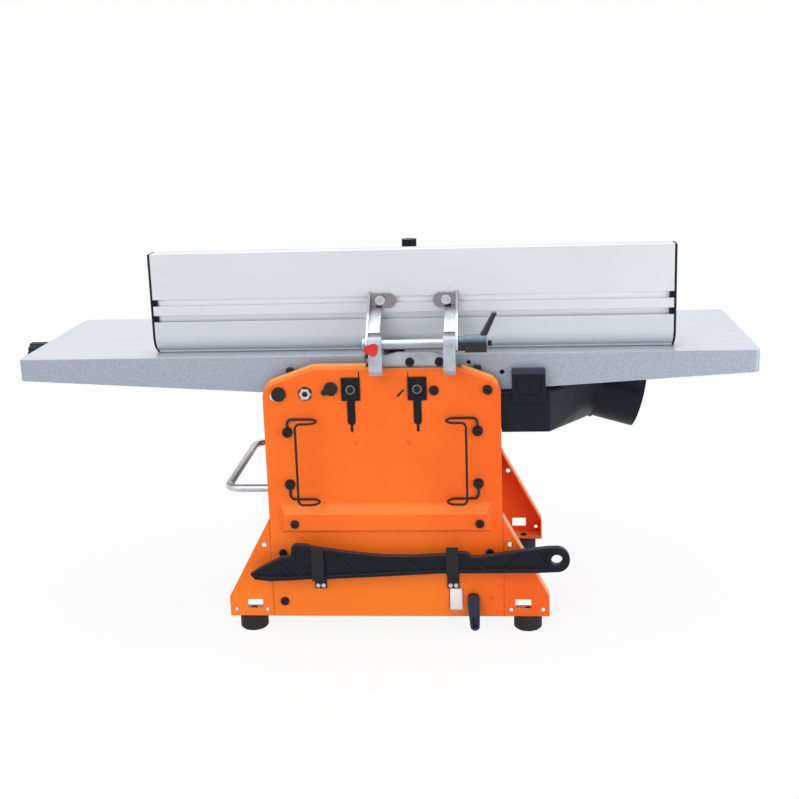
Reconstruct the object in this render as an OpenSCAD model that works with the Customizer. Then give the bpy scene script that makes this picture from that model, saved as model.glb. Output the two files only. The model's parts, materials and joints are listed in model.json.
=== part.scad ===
// Combination planer thicknesser, 254 mm class, seen with its rear towards -Y.
// Millimetres, +Z up, +X towards the outfeed table, +Y towards the operator.
// Heights count from a datum that the feet hold a little above the floor.

/* [Tables] */
// Length of both tables together
table_l = 920; // [880:1:960]
// Width of the tables
table_w = 264; // [262:0.5:265]
// Height of the table surface above the datum
table_z = 356; // [354:0.5:360]
// Thickness of the table plate
table_t = 10; // [8:0.5:11]
// Thickness of the table skirts
skirt_t = 4; // [3:0.5:5]
// Depth of the skirt at the outer ends of the tables
skirt_end_h = 27.5; // [24:0.5:30]
// Depth of the skirt where it meets the body
skirt_body_h = 46; // [43:0.5:48]
// Cutting depth that the infeed table can be lowered by
cut_depth = 3; // [1:0.5:3]
// Slope of the infeed table's guide slots, degrees
ramp_a = 30; // [25:1:35]

/* [Body] */
// Width of the orange covers
body_w = 294; // [290:1:300]
// Distance from the inner wall to the outer face of the rear cover
cover_gap = 12; // [11.5:0.5:15]
// Depth of the drive space under the front cover
drive_d = 33.5; // [32:0.5:40]
// Top of the covers above the datum
cover_z = 348; // [346:0.5:349]
// Sheet thickness of the covers
cover_t = 1.5; // [1:0.1:2]
// Sheet thickness of the base plates
plate_t = 2; // [1.5:0.1:2.5]
// Thickness of the inner side walls
wall_t = 6; // [5:0.5:6.5]
// Reach of the base's wings beyond its top edge
wing_w = 57; // [52:1:67]
// Height of the rubber feet
foot_h = 21.5; // [20:0.5:24]
// Diameter of the rubber feet
foot_d = 36; // [32:1:38]

/* [Cutter and rollers] */
// Place of the cutterhead along the tables
cutter_x = 4; // [2:0.5:6]
// Diameter of the circle that the knife edges turn in
cutter_d = 50; // [46:0.5:50]
// Number of knives
knife_n = 3; // [2:1:4]
// Diameter of the feed rollers
roller_d = 24; // [20:0.5:24]
// Distance from the cutterhead to each feed roller
roller_dx = 41; // [40:0.5:43]

/* [Thicknesser bed] */
// Height of the bed surface at its lowest setting
bed_z = 182; // [180:0.5:184]
// Lift of the bed with the chute fitted
bed_lift = 70; // [50:1:72]
// Half length of the bed
bed_x = 140; // [130:1:142]
// Diameter of the support bar's round rod
bar_d = 10; // [8:0.5:10]
// Reach of the support bar beyond the middle of the body
bar_x = 215; // [200:1:230]

/* [Fence] */
// Length of the fence with its end caps
fence_l = 650; // [600:1:700]
// Height of the fence above the table
fence_h = 128; // [120:1:134]
// Place of the fence's left end
fence_x = -289; // [-310:1:-270]
// Distance from the table's rear edge to the fence's back face
fence_in = 16; // [14:0.5:20]
// Thickness of the fence profile
fence_t = 26; // [24:0.5:30]
// Height of the tilt rod above the table
rod_z = 20; // [18:0.5:22]
// Distance from the rear cover to the tilt rod
rod_out = 14; // [13:0.5:17]
// Diameter of the tilt rod
rod_d = 12; // [10:0.5:12]

/* [Chute] */
// Diameter of the round dust port
port_d = 75; // [70:1:80]
// Tilt of the dust port, degrees
port_a = 16; // [12:1:18]
// Wall of the chute
chute_t = 2.5; // [2:0.1:3]

/* [Clearances] */
// Gap between parts that slide on one another
gap = 0.3; // [0.2:0.05:0.4]
// Radial clearance of shafts in their bores
run = 0.05; // [0.02:0.01:0.08]

/* [Hidden] */
$fn = 48;
eps = 0.01;
half_l = table_l / 2;
half_w = table_w / 2;
half_b = body_w / 2;
// Sideways layers, from the middle outwards
wall_y = half_w + 1;
wall_o = wall_y + wall_t;
cover_y = wall_o + cover_gap;
plate_o = cover_y - cover_t;
plate_i = plate_o - plate_t;
front_o = cover_y + drive_d;
front_i = front_o - cover_t;
fence_y = half_w - fence_in;
rod_y = cover_y + rod_out;
// Lengthways layers
end_x = half_b - 4;
top_x = half_b + 1;
wing_x = top_x + wing_w;
// Heights; rise is how far the datum lies above the floor
base_z = 17;
rise = foot_h - base_z;
cutter_r = cutter_d / 2;
cutter_z = table_z - cutter_r;
table_u = table_z - table_t;
roller_r = roller_d / 2;
roller_z = cutter_z - cutter_r + roller_r - 0.5;
base_top = 149;
wing_z = 43.5;
// Table mouth
mouth = 24;
in_x = cutter_x - mouth;
out_x = cutter_x + mouth;
slot_run = cut_depth / tan(ramp_a);
// Feed rollers: the thicknesser feeds from +X to -X
feed_in_x = cutter_x + roller_dx;
feed_out_x = cutter_x - roller_dx;
journal_r = 5;
// Places of the guide pins and table bolts
pin_x = [14 - half_b, 53.5 - half_b];
pin_z = table_z - 43.5;
pin_r = 4.5;
bolt_x = [65.5, half_b - 16];
bolt_z = table_z - 41;
// Bed parts
bed_y = half_w - 6;
bed_t = 10;
rib_h = 16;
lug_x = 90;
lug_w = 16;
bar_r = bar_d / 2;
bar_z = bed_z - 7;
leg_y = bed_y - 21;
// Bed lift drive
lift_z = 40;
crank_z = 125;
crank_r = 50;
lift_y = [wall_o + 29, wall_o + 36];
// Main drive
motor_p = [-(end_x + 25) / 2, 80];
box_p = [end_x - 34, 80];
head_p = [cutter_x, cutter_z];
motor_pr = 26;
box_pr = 24;
head_pr = 11.5;
belt_t = 3;
belt_y = [wall_o + 3, wall_o + 13];
// Feed chain
chain_y = [wall_o + 27, wall_o + 33];
chain_r = 13;
out_p = [box_p[0] - 37, 125];
gear_y = [wall_y - 29, wall_y];
clutch_z = 42;
clutch_x = box_p[0] + 0.3;
// Chute
chute_z = 258;
chute_y = half_w - 5;
tray_x = -62;
tray_h = 38;
flare_y = half_w + 8;
flare_x = [half_b + 0.5, half_b + 60];
flare_h = 50;
port_l = 58;
port_c = [half_b + 182, 0, chute_z + 4.5];
// Fence parts
fence_z = table_z + 1;
slot_z = [table_z + 46.3, table_z + 66.5];
slot_w = 8.4;
slot_lip = 2;
slot_d = 4;
rod_h = table_z + rod_z;
lug_l = [-11, 5];
lug_r = [79, 93.5];
arm_t = 3;
// Guard
guard_x = 15;
guard_w = 70;
guard_t = 12;
post_dx = 53;
post_r = 6;
guard_y = 15.5 + front_o;
guard_z = table_z + 2.5;
bridge_z = table_z + 72;
// Moves the model so that its box stands centred on the origin
box_l = half_l + 34;
box_r = half_l;
box_n = rod_y + 13;
box_f = front_o + 57;
frame_x = (box_l - box_r) / 2;
frame_y = (box_n - box_f) / 2;

// Colours as the photograph shows them
orange = [0.96, 0.42, 0.09];
alu = [0.82, 0.83, 0.85];
cast_alu = [0.68, 0.71, 0.75];
black = [0.11, 0.12, 0.14];
steel = [0.62, 0.63, 0.65];
zinc = [0.78, 0.79, 0.80];
rubber = [0.07, 0.07, 0.08];

// Puts the finished part in the row's frame
module place() {
  translate([frame_x, frame_y, rise]) children();
}

// Cylinder along Y between two planes
module ycyl(x, z, y0, y1, r) {
  translate([x, y1, z]) rotate([90, 0, 0]) cylinder(r = r, h = y1 - y0);
}

// Cylinder along X between two planes
module xcyl(y, z, x0, x1, r) {
  translate([x0, y, z]) rotate([0, 90, 0]) cylinder(r = r, h = x1 - x0);
}

// Cylinder along Z between two planes
module zcyl(x, y, z0, z1, r) {
  translate([x, y, z0]) cylinder(r = r, h = z1 - z0);
}

// Block between two corners
module block(a, b) {
  translate(a) cube(b - a);
}

// Outline in X and Z made into a plate between two Y planes
module xz(y0, y1) {
  translate([0, y1, 0]) rotate([90, 0, 0]) linear_extrude(y1 - y0) children();
}

// Outline in Y and Z made into a bar between two X planes
module yz(x0, x1) {
  translate([x0, 0, 0]) rotate([90, 0, 90]) linear_extrude(x1 - x0) children();
}

// Same shape on the rear side (-1) or the front side (1)
module side(s) {
  if (s < 0) mirror([0, 1, 0]) children();
  else children();
}

// Straight slot outline between two points
module slot2d(p, q, r) {
  d = q - p;
  translate(p) rotate(atan2(d[1], d[0])) {
    circle(r);
    translate([norm(d), 0]) circle(r);
    translate([0, -r]) square([norm(d), 2 * r]);
  }
}

// Rounded rectangle outline
module round2d(a, b, r) {
  translate([a[0] + r, a[1]]) square([b[0] - a[0] - 2 * r, b[1] - a[1]]);
  translate([a[0], a[1] + r]) square([b[0] - a[0], b[1] - a[1] - 2 * r]);
  for (x = [a[0] + r, b[0] - r], y = [a[1] + r, b[1] - r])
    translate([x, y]) circle(r);
}

// Outer tangent of two circles, as its two touching points
function unit(v) = v / norm(v);
function tangent(p, r, q, s) =
  let (d = norm(q - p), u = unit(q - p), w = [u[1], -u[0]], a = (r - s) / d)
  let (n = a * u + sqrt(1 - a * a) * w)
  [p + r * n, q + s * n];

// Loop outline round circles that are listed anticlockwise
module loop2d(c, r) {
  n = len(c);
  for (i = [0 : n - 1])
    translate(c[i]) circle(r[i]);
  polygon([for (i = [0 : n - 1]) each tangent(c[i], r[i], c[(i + 1) % n], r[(i + 1) % n])]);
}

// Chain plate of a given width round those circles
module band(c, r, t, y) {
  xz(y[0], y[1]) difference() {
    loop2d(c, [for (v = r) v + t]);
    loop2d(c, r);
  }
}

// Taut belt of a given thickness round those circles
module belt(c, r, t, y) {
  xz(y[0], y[1]) difference() {
    hull() for (i = [0 : len(c) - 1])
      translate(c[i]) circle(r[i] + gap + t);
    hull() for (i = [0 : len(c) - 1])
      translate(c[i]) circle(r[i] + gap);
  }
}

// Button-head screw with a hexagon socket, its head standing out along -Y
module button_screw(x, z, y, r, h, shank_r, shank_l) {
  difference() {
    union() {
      ycyl(x, z, y - h * 0.55, y, r);
      ycyl(x, z, y - h, y - h * 0.55, r * 0.8);
    }
    translate([x, y - h - eps, z]) rotate([-90, 0, 0]) cylinder(r = r * 0.45, h = h * 0.6, $fn = 6);
  }
  if (shank_l > 0) ycyl(x, z, y, y + shank_l, shank_r);
}

// Hexagon head along -Y
module hex_head(x, z, y, af, h) {
  translate([x, y, z]) rotate([90, 0, 0]) cylinder(r = af / sqrt(3), h = h, $fn = 6);
}

// Outline of the orange covers
module cover2d(inset, side = -1) {
  b = half_b - (side < 0 ? inset : side);
  t = cover_z - inset;
  polygon([[-b, base_z + 0.5], [b, base_z + 0.5], [b, t - 35], [b - 3, t - 25], [b - 10, t - 17],
    [92 - inset * 0.3, t], [inset * 0.3 - 84, t], [10 - b, t - 19], [3 - b, t - 26], [-b, t - 35]]);
}

// Rim that is folded back from a cover's edge, above the base plates
module cover_rim(y0, y1, z0) {
  xz(y0, y1) intersection() {
    difference() {
      cover2d(0);
      cover2d(cover_t);
    }
    translate([-half_b, z0]) square([body_w, cover_z]);
  }
}

// Outline of a base plate with its two wings
module base2d() {
  polygon([[-wing_x, base_z], [wing_x, base_z], [wing_x, wing_z], [top_x, base_top],
    [-top_x, base_top], [-wing_x, wing_z]]);
}

// Cut-outs that both wings of a base plate have
module wing_holes() {
  for (s = [-1, 1]) {
    translate([s * (wing_x - 33) - 10, 27]) square([20, 12.8]);
    translate([s * (top_x + 8.5), 26]) circle(2.6, $fn = 20);
    translate([s * (wing_x - 8), 26]) circle(2.6, $fn = 20);
    translate([s * (top_x + 8.5), 114]) circle(3.2, $fn = 20);
  }
}

// Base plate on the +Y side with flanged wings; cut = extra cut-outs
foot_x = wing_x - 27;
foot_bolt_r = 2.8;
flange_w = 27.5;
foot_y = plate_o - foot_d / 2 + 0.5;
module base_plate() {
  k = plate_t * 1.14;
  difference() {
    union() {
      xz(plate_i, plate_o) difference() {
        base2d();
        wing_holes();
        children();
      }
      for (s = [-1, 1]) {
        xz(plate_i - 20, plate_i) polygon([[s * wing_x, base_z], [s * wing_x, wing_z],
          [s * top_x, base_top], [s * (top_x - k), base_top], [s * (wing_x - k), wing_z],
          [s * (wing_x - k), base_z]]);
        block([s > 0 ? top_x : -wing_x, plate_i - flange_w, base_z],
          [s > 0 ? wing_x : -top_x, plate_i, base_z + plate_t]);
      }
    }
    for (s = [-1, 1])
      zcyl(s * foot_x, foot_y, base_z - 1, base_z + plate_t + 1, foot_bolt_r);
  }
}

// Window beside the clutch lever, and the hole for the lever's shaft
lever_hole = 7;
module clutch_window2d() {
  translate([clutch_x - 31.3, 24.5]) square([18, 31]);
}

module base_plate_rear() {
  color(orange) place() side(-1) base_plate() {
    clutch_window2d();
    translate([clutch_x, clutch_z]) circle(lever_hole);
  }
}

module base_plate_front() {
  color(orange) place() base_plate() translate([17 - half_b, 32]) square([body_w - 26.5, base_top]);
}

// Two end plates with flanges, and the bar that holds the depth nut
bar_w = [cutter_x - 66, cutter_x - 54.5];
module cross_members() {
  color(orange) place() {
    for (s = [-1, 1]) {
      x = s > 0 ? [end_x, end_x + plate_t] : [-end_x - plate_t, -end_x];
      xi = s > 0 ? [end_x - 18, end_x] : [-end_x, -end_x + 18];
      block([x[0], -plate_i, base_z + 0.5], [x[1], plate_i, base_top + 1]);
      block([xi[0], -floor_y - 5, base_z + 0.5], [xi[1], floor_y + 5, base_z + 0.5 + plate_t]);
      block([xi[0], -floor_y - 25, base_top + 1 - plate_t], [xi[1], floor_y + 25, base_top + 1]);
    }
    difference() {
      block([bar_w[0], -wall_y, table_u - 24], [bar_w[1], wall_y, table_u - 4]);
      block([bar_w[0] - 1, -nut_w / 2 - gap, nut_z - nut_h / 2 - cut_depth - 0.5],
        [bar_w[1] + 1, nut_w / 2 + gap, table_u]);
    }
  }
}

// Floor tray that carries the motor and the lift gearbox
floor_z = base_z + 0.5 + plate_t;
floor_y = wall_y - 38;
module base_floor() {
  color(orange) place() difference() {
    union() {
      block([-end_x, -floor_y, floor_z], [end_x, floor_y, floor_z + 2.5]);
      for (s = [-1, 1])
        block([-end_x + 20, s * floor_y - 1.5, floor_z + 2.5],
          [end_x - 20, s * floor_y + 1.5, floor_z + 14]);
    }
    for (x = [-1, 1], y = [-1, 0, 1])
      zcyl(x * 60, y * 60, floor_z - 1, floor_z + 4, 9);
  }
}
deck_z = floor_z + 2.5;

module rubber_feet() {
  color(rubber) place() for (s = [-1, 1], t = [-1, 1]) translate([s * foot_x, t * foot_y, 0])
    rotate_extrude() polygon([[foot_bolt_r, 6 - rise], [foot_bolt_r, base_z], [foot_d / 2 - 2, base_z],
      [foot_d / 2, base_z - 3], [foot_d / 2, 2 - rise], [foot_d / 2 - 2, -rise], [8, -rise], [8, 6 - rise]]);
}

// Inner side wall on the +Y side, shared by both walls
ledge_h = 3;
module side_wall() {
  xz(wall_y, wall_o) difference() {
    union() {
      intersection() {
        cover2d(half_b - end_x);
        translate([-end_x, base_z + 4.5]) square([2 * end_x, cover_z]);
      }
      translate([cutter_x - 22, cover_z - 20]) square([44, 24]);
    }
    translate(head_p) circle(14);
    for (x = [feed_in_x, feed_out_x])
      translate([x - 11, roller_z - 14]) square([22, 28]);
    for (s = [-1, 1])
      translate([s * lug_x - lug_w / 2 - gap, bed_z - 28]) square([lug_w + 2 * gap, bed_lift + 28]);
    for (x = pin_x)
      translate([x, pin_z]) circle(pin_r);
    for (x = bolt_x)
      translate([x, bolt_z]) circle(3);
    translate([clutch_x, clutch_z]) circle(5 + run);
    children();
  }
  block([-58, wall_y - 9, chute_z - ledge_h], [end_x - 2, wall_y, chute_z]);
}

module wall_rear() {
  color(steel) place() side(-1) side_wall();
}

module wall_front() {
  color(steel) place() side_wall() {
    translate(motor_p) circle(16);
    translate([0, lift_z]) circle(5 + run);
    translate([0, crank_z]) circle(6 + run);
    translate(box_p) circle(10);
    translate(out_p) circle(8);
  }
}

// Pressed rib across a cover, drawn in by i to leave its sheet
rib_z = [132.5, 169.5];
rib_x = half_b - 15;
rib_d = 5;
module rib_press(i, back) {
  hull() {
    xz(-cover_y - eps, back) polygon([[i - rib_x, rib_z[0] + i], [rib_x - i, rib_z[0] + i],
      [rib_x - i, rib_z[1] - i], [i - rib_x, rib_z[1] - i]]);
    xz(-cover_y - rib_d + i, -cover_y) polygon([[i - rib_x + 4, rib_z[0] + 3 + i],
      [rib_x - 4 - i, rib_z[0] + 3 + i], [rib_x - 5 - i, rib_z[1] - 13 - i],
      [i - rib_x + 5, rib_z[1] - 13 - i]]);
  }
}

// Upper part of the rear cover with its rounded edge, drawn in by i to leave its sheet
edge_r = 6;
module cover_dish(i) {
  m = edge_r - (edge_r - i) * cos(45);
  intersection() {
    hull() {
      xz(-cover_y + i, -cover_y + i + eps) cover2d(edge_r, i);
      xz(-cover_y + m, -cover_y + m + eps) cover2d(m, i);
      xz(-cover_y + edge_r, -wall_o + (i > 0 ? 1 : 0)) cover2d(i);
    }
    block([-half_b - 1, -cover_y - 1, base_top + 1], [half_b + 1, -wall_o + 2, cover_z + 1]);
  }
}

// Rear cover with its pressed rib, roller windows and folded rim
notch_h = 4.7;
module rear_cover() {
  c = [-cover_y - 1, -plate_o + 1];
  color(orange) place() difference() {
    union() {
      difference() {
        cover_dish(0);
        cover_dish(cover_t);
      }
      block([-half_b, -cover_y, base_z + 0.5], [half_b, -plate_o, base_top + 1]);
      rib_press(0, -cover_y + 0.5);
    }
    rib_press(cover_t, -plate_o + 1);
    for (x = [feed_in_x, feed_out_x]) xz(c[0], c[1]) {
      translate([x - 11.5, roller_z - 14.5]) square([23, 29]);
      slot2d([x, roller_z - plunger_l], [x, roller_z - 14], plunger_r + 2 * gap);
      slot2d([x, roller_z - 53.4], [x, roller_z - plunger_l], 1.6);
    }
    xz(c[0], c[1]) translate([feed_in_x - 11.5, roller_z + 14]) square([1.4, 8]);
    xz(c[0], c[1]) translate([feed_out_x + 10.1, roller_z + 14]) square([1.4, 8]);
    block([lug_l[0] - 6, -cover_y + cover_t, cover_z - 6], [lug_r[1] + 6, -wall_o + 1, cover_z + 1]);
    block([lug_l[0] + 8, -cover_y - 1, cover_z - notch_h], [lug_r[1] - 8, -wall_o, cover_z + 1]);
    xz(c[0], c[1]) clutch_window2d();
    xz(c[0], c[1]) slot2d([cutter_x + 17, roller_z - 9], [cutter_x + 24, roller_z - 2], 1.2);
    ycyl(clutch_x, clutch_z, c[0], c[1], lever_hole);
    ycyl(pin_x[1], pin_z, c[0], c[1], 8.6);
    for (x = bolt_x)
      ycyl(x, bolt_z, c[0], c[1], 3);
    for (x = [-33, 32])
      ycyl(x, 248, -cover_y - 1, -cover_y + 0.7, 2.2);
    ycyl(half_b - 16, 42, c[0], c[1], 2.6);
  }
}

// Front cover: a deep pan over the belt, chain and lift drive
module front_cover() {
  color(orange) place() difference() {
    union() {
      xz(front_i, front_o) cover2d(0);
      cover_rim(plate_o, front_o, 0);
      cover_rim(wall_o, front_o, base_top + 1);
    }
    ycyl(0, crank_z, front_i - 1, front_o + 1, 8);
    for (i = [0 : 6])
      xz(front_i - 1, front_o + 1) slot2d([19 - half_b, 50 + i * 10], [77 - half_b, 50 + i * 10], 2.2);
    for (x = bolt_x)
      ycyl(x, 215, front_i - 1, front_o + 1, 4);
  }
}

// Zinc bolts of the frame: guide pins, washers and clip rivets
cap_x = pin_x[0] + 6.5;
cap_r = 8.8;
nut_o = wall_o + 15.6;
module frame_bolts() {
  color(zinc) place() {
    for (s = [-1, 1]) side(s) for (x = pin_x) {
      ycyl(x, pin_z, half_w - skirt_t - 2, wall_o, pin_r);
      ycyl(x, pin_z, wall_o, wall_o + 1.6, 9.4);
    }
    for (x = pin_x) translate([x, wall_o + 1.6, pin_z]) rotate([-90, 0, 0])
      cylinder(r = 8.6, h = 6, $fn = 6);
    hex_head(pin_x[0], pin_z, -wall_o - 1.6, 15, 6.5);
    difference() {
      hex_head(pin_x[1], pin_z, -wall_o - 1.6, 13, nut_o - wall_o - 1.6);
      ycyl(pin_x[1], pin_z, -nut_o - 1, -nut_o + 2.6, 3.5);
    }
    difference() {
      ycyl(cap_x - 6.4, pin_z - 3.4, -cover_y - 0.8, -cover_y, 5.2);
      ycyl(cap_x, pin_z, -cover_y - 1, -cover_y + 1, cap_r + gap);
    }
    for (x = [feed_in_x, feed_out_x]) difference() {
      ycyl(x, roller_z, -block_o - 1.2, -block_o, 5.8);
      ycyl(x, roller_z, -block_o - 2, -block_o + 1, 2.6);
    }
    for (x = clip_x, d = [-3.5, 3.5])
      ycyl(x + d, 60.5, -cover_y - 3.2, -cover_y - clip_t, 2.8);
  }
}

// Black screws, caps and stops on the outside of the frame
module frame_screws() {
  color(black) place() {
    ycyl(cap_x, pin_z, -cover_y - 4, -cover_y, cap_r);
    ycyl(pin_x[1], pin_z, -nut_o + 0.8, -nut_o + 2.6, 3.2);
    for (x = bolt_x) {
      button_screw(x, bolt_z, -cover_y, 6, 4, 3, cover_y - half_w + skirt_t);
      side(1) ycyl(x, bolt_z, half_w - skirt_t, wall_o, 3);
      side(1) ycyl(x, bolt_z, wall_o, wall_o + 4, 6);
    }
    for (x = [feed_in_x, feed_out_x])
      button_screw(x, roller_z, -block_o - 1.2, 4, 3, 2.6, 1.2);
    xz(-cover_y - 3, -cover_y) slot2d([-70, 314], [-62, 318], 3.6);
    xz(-cover_y - 3, -cover_y) translate([-61.5, 318.5]) circle(8.4);
    for (x = [33 - half_b, half_b - 28])
      button_screw(x, 144, -cover_y - rib_d, 5.5, 3.5, 3, 0);
    for (x = [15 - half_b, half_b - 16])
      button_screw(x, 104, -cover_y, 5, 3.2, 3, 0);
    button_screw(14 - half_b, 38, -cover_y, 5.5, 3.5, 3, 0);
    for (s = [-1, 1], z = eye_z)
      button_screw(s * eye_x, z, -cover_y - eye_t, 5.5, 3.5, 2.5, eye_t);
    for (x = base_screw_x)
      button_screw(x, table_z - 6.5, -base_o, 5.5, 4, 3, base_o - wall_o);
    for (x = [33.5 - half_b, half_b - 28]) xz(-wall_o, -wall_y) difference() {
      round2d([x - 4.5, cover_z - 28], [x + 4.5, cover_z - 6], 2);
      cover2d(half_b - end_x);
    }
    xcyl(-rod_y, rod_h, lever_x[1] + 1, lever_x[1] + 6, 3.5);
    for (s = [-1, 1], t = [-1, 1]) translate([s * foot_x, t * foot_y, 0]) {
      zcyl(0, 0, 6 - rise, base_z + plate_t, foot_bolt_r);
      zcyl(0, 0, base_z + plate_t, base_z + plate_t + 1.6, 4.4);
      zcyl(0, 0, base_z + plate_t + 1.6, base_z + plate_t + 2.8, 3.4);
    }
    for (x = [19 - half_b, half_b - 19], z = [40, 150, 300])
      mirror([0, 1, 0]) button_screw(x, z, -front_o, 5.5, 3.5, 3, 0);
  }
}

// Outline of one table's side skirt; d = +1 outfeed, -1 infeed
module skirt2d(d, near) {
  far = half_l;
  polygon([[d * far, table_z - skirt_end_h], [d * far, table_z], [d * near, table_z], [d * near, table_u],
    [d * 64, table_u], [d * 64, table_z - 58], [d * (half_b - 1), table_z - 58],
    [d * (half_b - 1), table_z - skirt_body_h]]);
}

// Table plate with side skirts, end wall and stiffening ribs
module table_body(d, near, far, open_y) {
  lo = min(near * d, far * d);
  hi = max(near * d, far * d);
  r = 6;
  intersection() {
    union() {
      block([lo, -half_w, table_u], [hi, half_w, table_z]);
      for (s = [-1, 1]) side(s) xz(half_w - skirt_t, half_w) skirt2d(d, near);
      difference() {
        block([d > 0 ? far - skirt_t : -far, -half_w + 1, table_z - skirt_end_h],
          [d > 0 ? far : -far + skirt_t, half_w - 1, table_u + 1]);
        if (open_y > 0)
          block([lo - 1, -open_y, table_z - skirt_end_h - 1], [hi + 1, open_y, table_u]);
      }
      for (s = [-1, 1], y = [half_w - 62, half_w - 40])
        block([d > 0 ? flare_x[1] + 5 : -far, s * y - 2, table_u - 9],
          [d > 0 ? far : -half_b - 13, s * y + 2, table_u + 1]);
      children();
    }
    translate([0, 0, table_z - 80]) linear_extrude(80)
      round2d([lo - (d > 0 ? 2 * r : 0), -half_w], [hi + (d > 0 ? 0 : 2 * r), half_w], r);
  }
}

module outfeed_table() {
  color(cast_alu) place() difference() {
    union() {
      table_body(1, out_x, half_l, 60);
      for (s = [-1, 1]) side(s) for (x = bolt_x) difference() {
        ycyl(x, bolt_z, half_w - skirt_t, wall_y, 9);
        ycyl(x, bolt_z, half_w - skirt_t - 1, wall_y + 1, 3);
      }
    }
    for (s = [-1, 1]) side(s) {
      for (x = bolt_x)
        ycyl(x, bolt_z, half_w - skirt_t - 1, wall_y + 1, 3);
      ycyl(pawl_x, pawl_z, half_w - skirt_t - 1, half_w + 1, 4 + run);
      ycyl(half_b - 39, table_z - 10.5, half_w - skirt_t - 1, half_w + 1, 2.8);
      ycyl(half_b + 2, table_z - 23.7, half_w - skirt_t - 1, half_w + 1, 3);
    }
  }
}

// The infeed table slides down its inclined slots on the guide pins
module infeed_table() {
  color(cast_alu) place() difference() {
    union() {
      table_body(-1, -in_x, half_l, 0);
      xcyl(0, nut_z, -half_l + 1, -half_l + 9, 9);
    }
    xcyl(0, nut_z, -half_l - 1, -half_l + 10, 5 + run);
    for (s = [-1, 1]) side(s) for (x = pin_x)
      xz(half_w - skirt_t - 1, half_w + 1)
        slot2d([x, pin_z], [x + slot_run, pin_z + cut_depth], pin_r + gap / 2);
  }
}

// Depth adjustment: knob and screw turn on the infeed table, the nut floats in the cross bar
nut_z = table_z - 22;
nut_w = 18;
nut_h = 12;
knob_r = 17;
module depth_knob() {
  color(black) place() difference() {
    union() {
      xcyl(0, nut_z, -half_l - 34, -half_l - 6, knob_r);
      xcyl(0, nut_z, -half_l - 6, -half_l - gap, 11);
    }
    for (a = [0 : 30 : 330])
      translate([-half_l - 35, (knob_r + 1.5) * cos(a), nut_z + (knob_r + 1.5) * sin(a)])
        rotate([0, 90, 0]) cylinder(r = 3, h = 24, $fn = 24);
    xcyl(0, nut_z, -half_l - 35, -half_l - 31, 11);
    xcyl(0, nut_z, -half_l - 20, -half_l, 5);
  }
}

module depth_screw() {
  color(zinc) place() {
    xcyl(0, nut_z, -half_l - 20, bar_w[1], 5);
    xcyl(0, nut_z, -half_l + 9 + gap, -half_l + 15, 8);
  }
}

module depth_nut() {
  color([0.72, 0.58, 0.28]) place() difference() {
    block([bar_w[0], -nut_w / 2, nut_z - nut_h / 2], [bar_w[1], nut_w / 2, nut_z + nut_h / 2]);
    xcyl(0, nut_z, bar_w[0] - 1, bar_w[1] + 1, 5 + run);
  }
}

// Cutterhead with knife slots, journals and its belt pulley
head_r = cutter_r - 2;
head_y = half_w - 5;
bearing_w = wall_t;
module knife_slots(x0, x1, r0, r1, y) {
  for (i = [0 : knife_n - 1]) translate([cutter_x, 0, cutter_z]) rotate([0, 30 + i * 360 / knife_n, 0])
    block([x0, -y, r0], [x1, y, r1]);
}

module cutterhead() {
  color(steel) place() {
    difference() {
      ycyl(cutter_x, cutter_z, -head_y, head_y, head_r);
      knife_slots(-8, 3, 11, cutter_r + 2, head_y + 1);
    }
    ycyl(cutter_x, cutter_z, -wall_o + gap, -head_y, 6);
    ycyl(cutter_x, cutter_z, head_y, belt_y[1] + 3, 6);
    difference() {
      ycyl(cutter_x, cutter_z, belt_y[0] - 1, belt_y[1] + 1, head_pr);
      ycyl(cutter_x, cutter_z, belt_y[1] - 2, belt_y[1] + 2, head_pr - 2);
    }
    ycyl(cutter_x, cutter_z, belt_y[0], belt_y[1] + 3, 8);
  }
}

// Knives, each held by a gib with hexagon socket screws
module cutter_knives() {
  color(zinc) place() {
    intersection() {
      knife_slots(0, 3, 11, cutter_r + 2, head_y);
      ycyl(cutter_x, cutter_z, -head_y, head_y, cutter_r);
    }
    difference() {
      knife_slots(-8, -run, 11, head_r - 2.5, head_y);
      for (i = [0 : knife_n - 1], k = [-2 : 2]) translate([cutter_x, k * (head_y - 27) / 2, cutter_z])
        rotate([0, 30 + i * 360 / knife_n, 0]) translate([-4, 0, 17]) cylinder(r = 2.5, h = 8, $fn = 6);
    }
  }
}

module cutter_bearings() {
  color(zinc) place() for (s = [-1, 1]) side(s) difference() {
    ycyl(cutter_x, cutter_z, wall_y, wall_y + bearing_w, 14);
    ycyl(cutter_x, cutter_z, wall_y - 1, wall_y + bearing_w + 1, 6 + run);
    difference() {
      ycyl(cutter_x, cutter_z, wall_y + bearing_w - 0.8, wall_y + bearing_w + 1, 11.5);
      ycyl(cutter_x, cutter_z, wall_y + bearing_w - 1, wall_y + bearing_w + 2, 8.5);
    }
  }
}

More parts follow.
